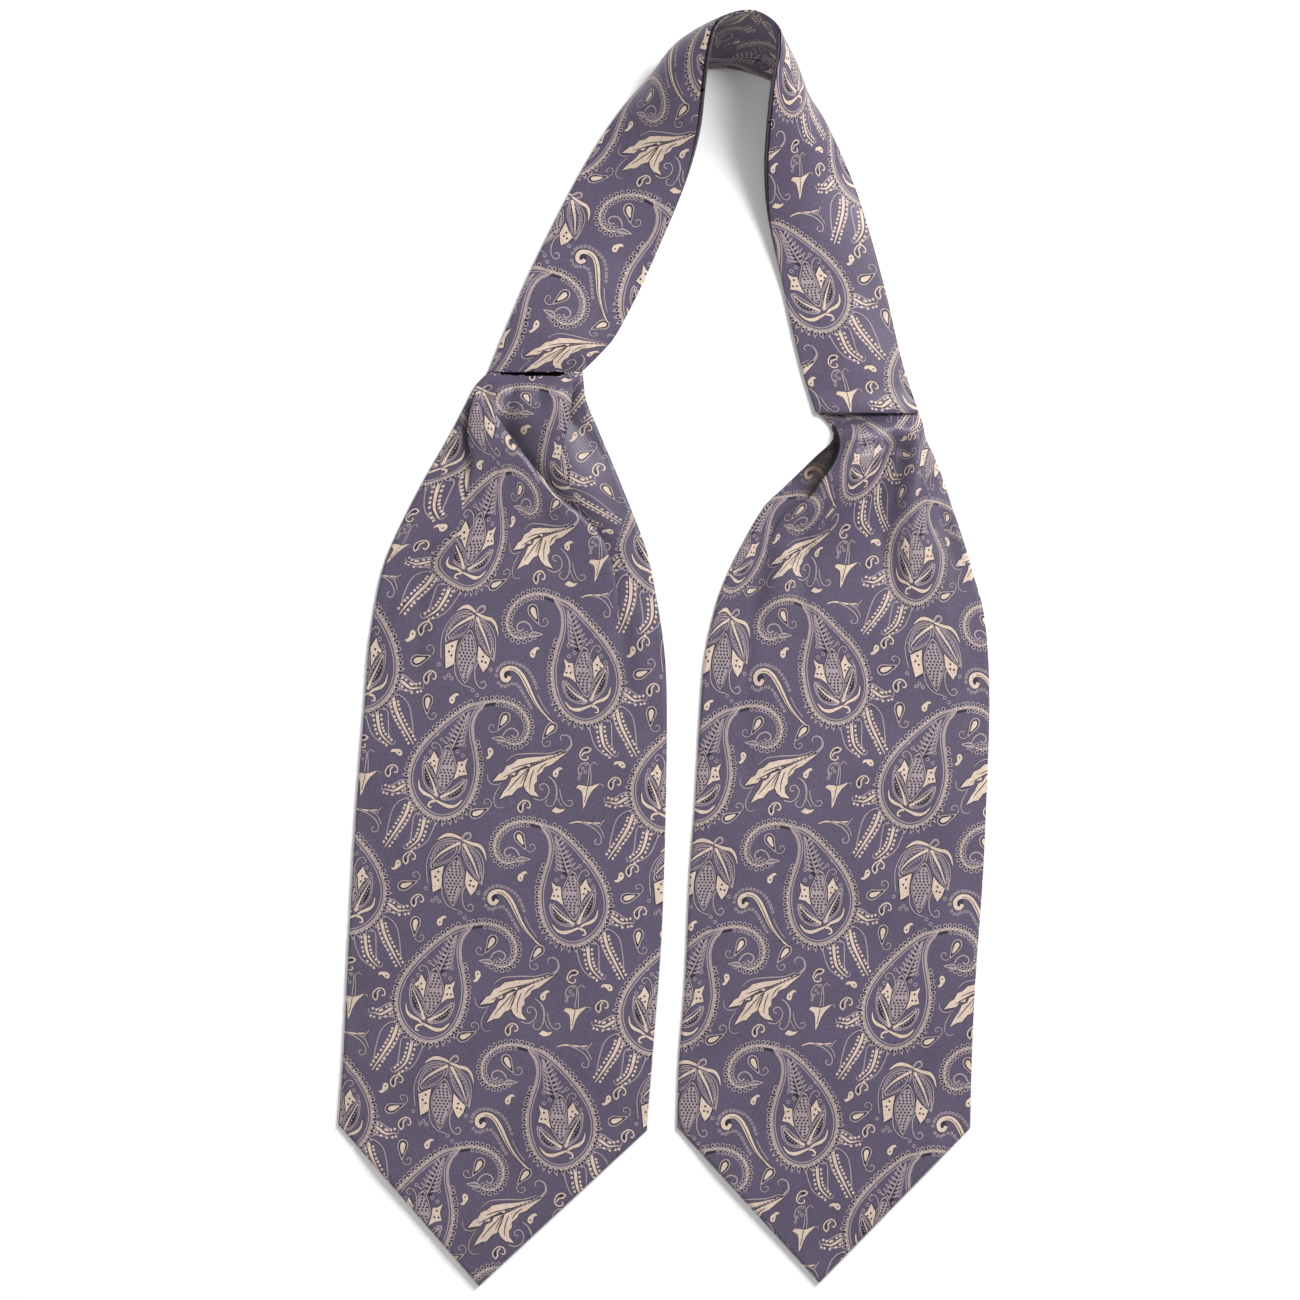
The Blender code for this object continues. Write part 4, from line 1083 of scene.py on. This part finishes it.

# The right blade is like the left, but one side of its top is turned over, which
# leaves a high pleat beside the cloth's reverse, darkened with painted shade.
RIGHT_BLADE = Blade(
    side="right",
    rows=[(120.7, 75.5, 127.0), (115.0, 82.0, 129.3), (107.0, 84.5, 131.0), (98.5, 76.0, 135.0), (82.5, 59.5, 141.0),
          (74.5, 51.0, 143.5), (57.0, 40.5, 149.5), (38.0, 31.0, 155.0), (22.0, 25.5, 159.5), (-1.5, 20.5, 162.0),
          (-31.5, 18.0, 162.6), (-76.5, 15.5, 161.0), (-110.0, 13.0, 159.5), (-166.0, 10.5, 155.5),
          (-204.0, 7.5, 153.8), (-237.0, 6.5, 153.0)],
    tip=(77.5, -314.8), corner_drop=0.5,
    pleats=[
        Pleat(8.0, 16.0, "right", [(84, 116), (87.5, 107), (86, 97), (79, 86), (72, 77), (61, 70), (54, 58), (50, 40)],
              [(46, 20), (42, -20), (42, -340)], (0, 0), 150, 50),
    ],
    creases=[
        Crease(-3.4, 5.5, [(118, 113), (117.5, 105), (116, 90), (112, 73), (110, 59), (112, 40), (114, 18)]),
        Crease(4.0, 7.0, [(127, 118), (127, 104), (127, 88), (124, 70), (124, 40), (126, 20)]),
        Crease(3.6, 13.0, [(98, 118), (100, 100), (97, 80), (96, 50)]),
        Crease(-1.8, 4.5, [(57, 55), (50, 38), (43, 10), (41, -26)]),
        Crease(1.0, 7.0, [(66, 62), (60, 34), (57, 0), (56, -30)]),
        Crease(-1.0, 6.0, [(140, 76), (144, 48), (145, 18), (144, -6)]),
        Crease(-1.3, 4.0, [(108, 121), (108, 110), (107, 100)]),
        # painted shade: this crease under the band's end is mostly dark colour, as its depth is small so near the seam
        Crease(-5.0, 2.6, [(74, 119.5), (86, 118), (98, 117), (112, 117.4), (130, 119)]),
        Crease(-2.0, 2.6, [(88, 116), (95, 113.5), (108, 113)]),
        Crease(1.6, 6.0, [(92, 118), (94, 108), (92, 92)]),
        Crease(-1.5, 4.0, [(118, 60), (116, 36), (118, 6)]),
        Crease(-1.2, 5.0, [(75, 62), (70, 40), (68, 10)]),
        Crease(-1.0, 5.0, [(44, 0), (41, -40), (40, -90)]),
    ],
    # where the cloth is turned over: it shows its reverse and takes painted shade
    turned=[(84, 114), (78, 103), (67.5, 91), (59, 81.5), (63, 75.5), (72, 76.5), (78, 85.5), (84, 94.5), (87.5, 102.5),
            (87.5, 112.5)],
    seam_dip=1.3, origin=(85.5, -113.5), shear=[[0.964, 0.018, -42.54], [0.045, 0.9955, -3.83]],
    pins=[
        (1, 8, 143.5, 60.9, 28.9), (1, 11, 114, 60, 0.2), (1, 57, 102.5, 102.6, -11.8), (1, 48, 137.5, 95.6, 18.6),
        (1, 27, 149.5, 76, 32.6), (1, 39.5, 150, 87.8, 33.2), (1, 36, 160.5, 86, 43.5), (1, 47, 162.5, 96.1, 45.2),
        (1, 39.5, 171, 90.2, 54.4), (1, 26, 167, 76.9, 50.6), (1, 38, 179, 88.9, 62.5), (1, 56.5, 173, 105.9, 54.9),
        (1, 53.5, 126, 99.4, 10.5), (1, 80.5, 162, 124.9, 45.7), (1, 77.5, 139, 123.8, 22.9), (1, 60.5, 162, 110.2, 44.6),
        (1, 99.5, 166, 141.1, 49), (1, 106.5, 203, 137.9, 76.1), (1, 90.5, 132.5, 133.5, 17), (1, 119.5, 143.5, 158.5, 25.6),
        (1, 99.5, 144.5, 141.1, 28.4), (1, -21, 132.5, 32.7, 20.2), (1, -5, 161.5, 54.4, 44.6), (1, -7.5, 174, 56.6, 56.5),
        (1, 11.5, 191, 78.8, 70.6), (1, 37, 215, 101, 97.7), (1, 37, 190, 93.4, 74.4), (1, 29, 216, 95.4, 94.5),
        (1, 44, 219, 107, 98.8), (1, 18, 218, 88, 94.5), (1, 57, 214, 114.6, 103.2), (1, 30, 249, 98.9, 117.3),
        (1, 64.5, 178, 111.3, 62.5), (1, 61, 207, 113.5, 87.4), (1, 65.5, 218, 121.1, 97.2), (1, 70.5, 211, 122.7, 92.3),
        (1, 60, 229, 120, 107.5), (0, -34, 138.5, 30.5, 29.5),
    ],
    sway=[(0.25, 91.0, -0.3, 2.3), (0.2, 61.0, 0.6, 0.5)], span=((-60.0, -215.0), (160.0, 300.0)),
)
sewn_blade(RIGHT_BLADE)

# The neckband is a strip of the silk folded lengthwise, with the fold on the outside.
# Its legs lie flat, and it stands on edge where it rounds the top, so that its inside
# shows there. It is pieced at the middle of the neck: both legs show the cloth upright.
BAND_ROWS = np.array([
    (-87.5, 141, -40.7, 141, 0, 0, 1.6), (-79, 161.5, -30.5, 151, 0, 0, 2.4), (-68.5, 186.5, -22.5, 161.5, 0, 0, 1.6),
    (-56, 212.5, -8, 190.5, 0, 0, 1.4), (-41, 241, 8, 229, 6, 0.5, 1.6), (-26, 265, 15.5, 256, 17, 2, 2.2),
    (-12, 281.5, 18.5, 278, 30, 4, 3), (0.5, 291, 21, 295.5, 39, 5, 3.6), (13, 292.5, 25, 308.5, 42, 4, 3.2),
    (22.5, 293, 33, 313.6, 43, 3, 1.6), (30.5, 293, 42.5, 315.2, 43, 2, 0.8), (37, 292, 50, 312.5, 43, 2.5, 1.6),
    (44.5, 290, 56, 306.5, 43, 3.5, 3), (54, 286.5, 56.5, 296, 42, 5, 3.6), (67.5, 280.5, 54, 281, 38, 4.5, 3),
    (78, 269, 52.3, 262, 29, 3, 2.2), (89, 247.5, 51.5, 241.5, 17, 1.5, 1.8), (99, 222, 53, 215.5, 7, 0.5, 1.5),
    (110, 183.5, 60, 180.5, 0, 0, 1.5), (119, 145.5, 68.5, 143.5, 0, 0, 2.4), (127, 121, 75.5, 121, 0, 0, 1.4)])
GAP = 0.3               # between the two layers
HALF_STACK = CLOTH + GAP / 2
BAND_WIDTH = 51.0
INNER_PEEK = 2.2        # how far the inner layer shows past the open edge near the top
BAND_ROLL = 1.6         # width of the rounded edges
JOIN = 10.2             # the row at which the strip is pieced
OVERLAP = 1.2           # how far the outer layer's end lies over a blade
END_REACH = 14.0        # over which that end lifts
END_LIFTS = (-1.4, 1.6)  # at the left and the right blade
END_ROLL = 5.0          # its end slopes down over this length


def band_row(rows):
    """All the columns of the band's table at places between its rows."""
    last = len(BAND_ROWS) - 1
    first = np.clip(rows.astype(int), 0, last - 1)
    t = (rows - first)[:, None]
    near = [BAND_ROWS[np.clip(first + k, 0, last)] for k in (-1, 0, 1, 2)]
    return ((2 * t ** 3 - 3 * t ** 2 + 1) * near[1] + (t ** 3 - 2 * t ** 2 + t) * (near[2] - near[0]) / 2
            + (3 * t ** 2 - 2 * t ** 3) * near[2] + (t ** 3 - t ** 2) * (near[3] - near[1]) / 2)


def band_middle(rows, across):
    """Points midway between the band's layers, before it is set on the surface."""
    row = band_row(rows)
    fold = np.stack((row[:, 0], row[:, 1], np.zeros(len(row))), 1)
    edge = np.stack((row[:, 2], row[:, 3], np.maximum(row[:, 4], 0)), 1)
    return fold + (edge - fold) * across[:, None]


def band_out(rows, across):
    """Out of the band's outer face, upwards where it lies flat."""
    along = band_middle(rows + 0.02, across) - band_middle(rows - 0.02, across)
    width = band_middle(rows, np.ones(len(rows))) - band_middle(rows, np.zeros(len(rows)))
    out = np.cross(width, along)
    return out / np.linalg.norm(out, axis=1)[:, None]


ruler = np.linspace(-0.3, 20.3, 2061)
middle_line = band_middle(ruler, np.full(len(ruler), 0.5))
band_length = np.concatenate(([0], np.cumsum(np.linalg.norm(np.diff(middle_line, axis=0), axis=1))))


def length_at(row):
    return float(np.interp(row, ruler, band_length))


def peek_at(rows):
    """How far the inner layer shows past the open edge: only round the top."""
    return INNER_PEEK * eased((rows - 3.2) / 2.4) * eased((17.9 - rows) / 2.0)


def band_surface(where, outer, face):
    """Points of one layer from its plan: width across and length along. face 1 is outwards."""
    rows = np.interp(where[:, 1], band_length, ruler)
    across = where[:, 0] / BAND_WIDTH
    if not outer:
        across = across * (BAND_WIDTH + peek_at(rows)) / (BAND_WIDTH + INNER_PEEK)
    width = BAND_WIDTH if outer else BAND_WIDTH + INNER_PEEK
    room = np.minimum(where[:, 0], width - where[:, 0])
    ends = np.minimum(where[:, 1] - length_at(0), length_at(20) - where[:, 1]) + (OVERLAP if outer else 0.0)
    room = np.minimum(room, ends * BAND_ROLL / END_ROLL)
    row = band_row(rows)
    normal = band_out(rows, across)
    rest = HALF_STACK * np.abs(band_out(rows, np.zeros(len(rows)))[:, 2])
    swell = np.sin(pi * np.clip(across, 0, 1))
    rise = row[:, 5] * swell + (GAP / 2 + row[:, 6] * swell if outer else -HALF_STACK)
    if outer:
        lift = np.where(rows < 10, *END_LIFTS)
        rise = rise + lift * eased(1 - ends / END_REACH) * eased(np.minimum(across, 1 - across) * 6 + 0.3)
    thick = CLOTH * (0.5 + (face - 0.5) * rounded(room / BAND_ROLL))
    low = band_middle(rows, across) + normal * rise[:, None]
    low[:, 2] = np.maximum(low[:, 2] + rest, 0)
    points = low + normal * thick[:, None]
    points[:, 2] = np.maximum(points[:, 2], 0)
    return points


def band_normals(where, outer, face, reach=0.3):
    """Normals of one side of a layer, outwards or inwards as the side faces."""
    across = band_surface(where + (reach, 0), outer, face) - band_surface(where - (reach, 0), outer, face)
    along = band_surface(where + (0, reach), outer, face) - band_surface(where - (0, reach), outer, face)
    normals = np.cross(across, along) * (1 if face else -1)
    return normals / np.linalg.norm(normals, axis=1)[:, None]


# Where the cloth's own zero lies on each leg: across the band, and along it.
LEG_LEFT = (-21.8, 19.0 - length_at(3.55))
LEG_RIGHT = (73.5, -3.0 + length_at(17.85))


def band_layer(name, first, last, outer):
    """One layer of one stretch of the band, woven on the side that faces out of the fold."""
    start = length_at(first) - (OVERLAP if outer and first == 0 else 0.0)
    end = length_at(last) + (OVERLAP if outer and last == 20 else 0.0)
    join = length_at(JOIN)
    width = BAND_WIDTH if outer else BAND_WIDTH + INNER_PEEK
    face = 1 if outer else 0

    def laid_at(corners, part):
        if part == 0:
            across, along = corners[:, 0] - LEG_LEFT[0], corners[:, 1] - LEG_LEFT[1]
        else:
            across, along = LEG_RIGHT[0] - corners[:, 0], LEG_RIGHT[1] - corners[:, 1]
        return np.stack((across if outer else width - across, along), 1)

    def part_of(where):
        return (where[:, 1] > join).astype(int)

    def held(where):
        inside = (np.abs(where[:, 0] - width / 2) < width / 2 + 1) & (where[:, 1] > start - 1) & (where[:, 1] < end + 1)
        return np.where(inside, part_of(where), -1)

    outline = even_steps([(0, start), (width, start), (width, end), (0, end), (0, start)])
    marks = woven_marks((-60.0, -400.0), (130.0, 500.0), laid_at, held, 2)
    spots = [(a, b) for a in np.arange(3.0, width - 2, 3.4) for b in np.arange(start + 3, end - 2, 3.4)]
    spots += [(a, b) for inset in (0.3, 0.8, 1.6) for a in (inset, width - inset) for b in np.arange(start + 1, end, 2.4)]
    spots += [(a, b) for inset in (0.3, 0.8, 1.6) for b in (start + inset, end - inset) for a in np.arange(1, width, 2.4)]
    cuts = [[(0.0, join), (width, join)]] if start < join < end else []
    plan, triangles, tones, _ = woven_plan(outline, cuts, spots, marks, part_of)
    rim = rim_of(triangles)
    spots = [(a, b) for a in np.arange(4.0, width - 3, 7.0) for b in np.arange(start + 4, end - 3, 7.0)]
    spots += [(a, b) for a in (0.7, 1.6, width - 1.6, width - 0.7) for b in np.arange(start + 1, end, 4.8)]
    spots += [(a, b) for a in np.linspace(0.7, width - 0.7, 15) for b in (start + 0.12, end - 0.12)]
    under, under_faces = hidden_plan(plan[rim], [], spots)
    size = max(end - start, 2 * width + 6) * 1.02

    def map_of(where, aside):
        return (where - (0.0, start) + (aside + 1.0, 1.0)) / size

    shown = (band_surface(plan, outer, face), band_normals(plan, outer, face), map_of(plan[triangles.ravel()], 0.0),
             triangles.tolist(), list(tones), np.zeros(len(plan)))
    hidden = (band_surface(under, outer, 1 - face), band_normals(under, outer, 1 - face), map_of(plan[rim], width + 3),
              map_of(under, width + 3), under_faces)
    return cloth_object(name, shown, hidden, rim, outer), (end - start) / 1000


for stretch, first, last in (("left", 0, 6), ("neck", 6, 15), ("right", 15, 20)):
    for layer, below in (("inner", "floor"), ("outer", "band_%s_inner_silk" % stretch)):
        node = "band_%s_%s" % (stretch, layer)
        piece, length = band_layer(node + "_silk", first, last, layer == "outer")
        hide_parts(node)
        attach(piece, "root")

# The surface it is laid on, plain and pale.
bpy.ops.mesh.primitive_plane_add(size=6.0, location=(0.0, 0.0, -0.0002))
floor = bpy.context.object
floor.name = "floor"
board = bpy.data.materials.new("matt_white_board")
board.use_nodes = True
board.node_tree.nodes["Principled BSDF"].inputs["Base Color"].default_value = colour("#F8F8F8")
board.node_tree.nodes["Principled BSDF"].inputs["Roughness"].default_value = 0.9
floor.data.materials.append(board)

# Plain studio light: one large panel above and to the right, a weaker one opposite,
# and a pale room around.
room = bpy.data.worlds.new("pale_room")
bpy.context.scene.world = room
room.use_nodes = True
room.node_tree.nodes["Background"].inputs["Color"].default_value = (1, 1, 1, 1)
room.node_tree.nodes["Background"].inputs["Strength"].default_value = 0.42
for spot, power, size in (((0.95, 1.0, 1.25), 44.0, 0.7), ((-1.2, -0.7, 1.8), 9.0, 1.6)):
    bpy.ops.object.light_add(type="AREA", location=spot)
    panel = bpy.context.object
    panel.data.size = size
    panel.data.energy = power
    panel.rotation_euler = Vector(spot).to_track_quat("Z", "Y").to_euler()
bpy.context.scene.view_settings.view_transform = "Standard"

# The camera looks straight down. The frame spans 650 mm of the surface.
CAMERA_HEIGHT = 2.4
bpy.ops.object.camera_add(location=(-0.007, 0.0015, CAMERA_HEIGHT), rotation=(0, 0, 0))
camera = bpy.context.object
camera.data.sensor_width = 36.0
camera.data.lens = 36.0 * CAMERA_HEIGHT / 0.65
bpy.context.scene.camera = camera
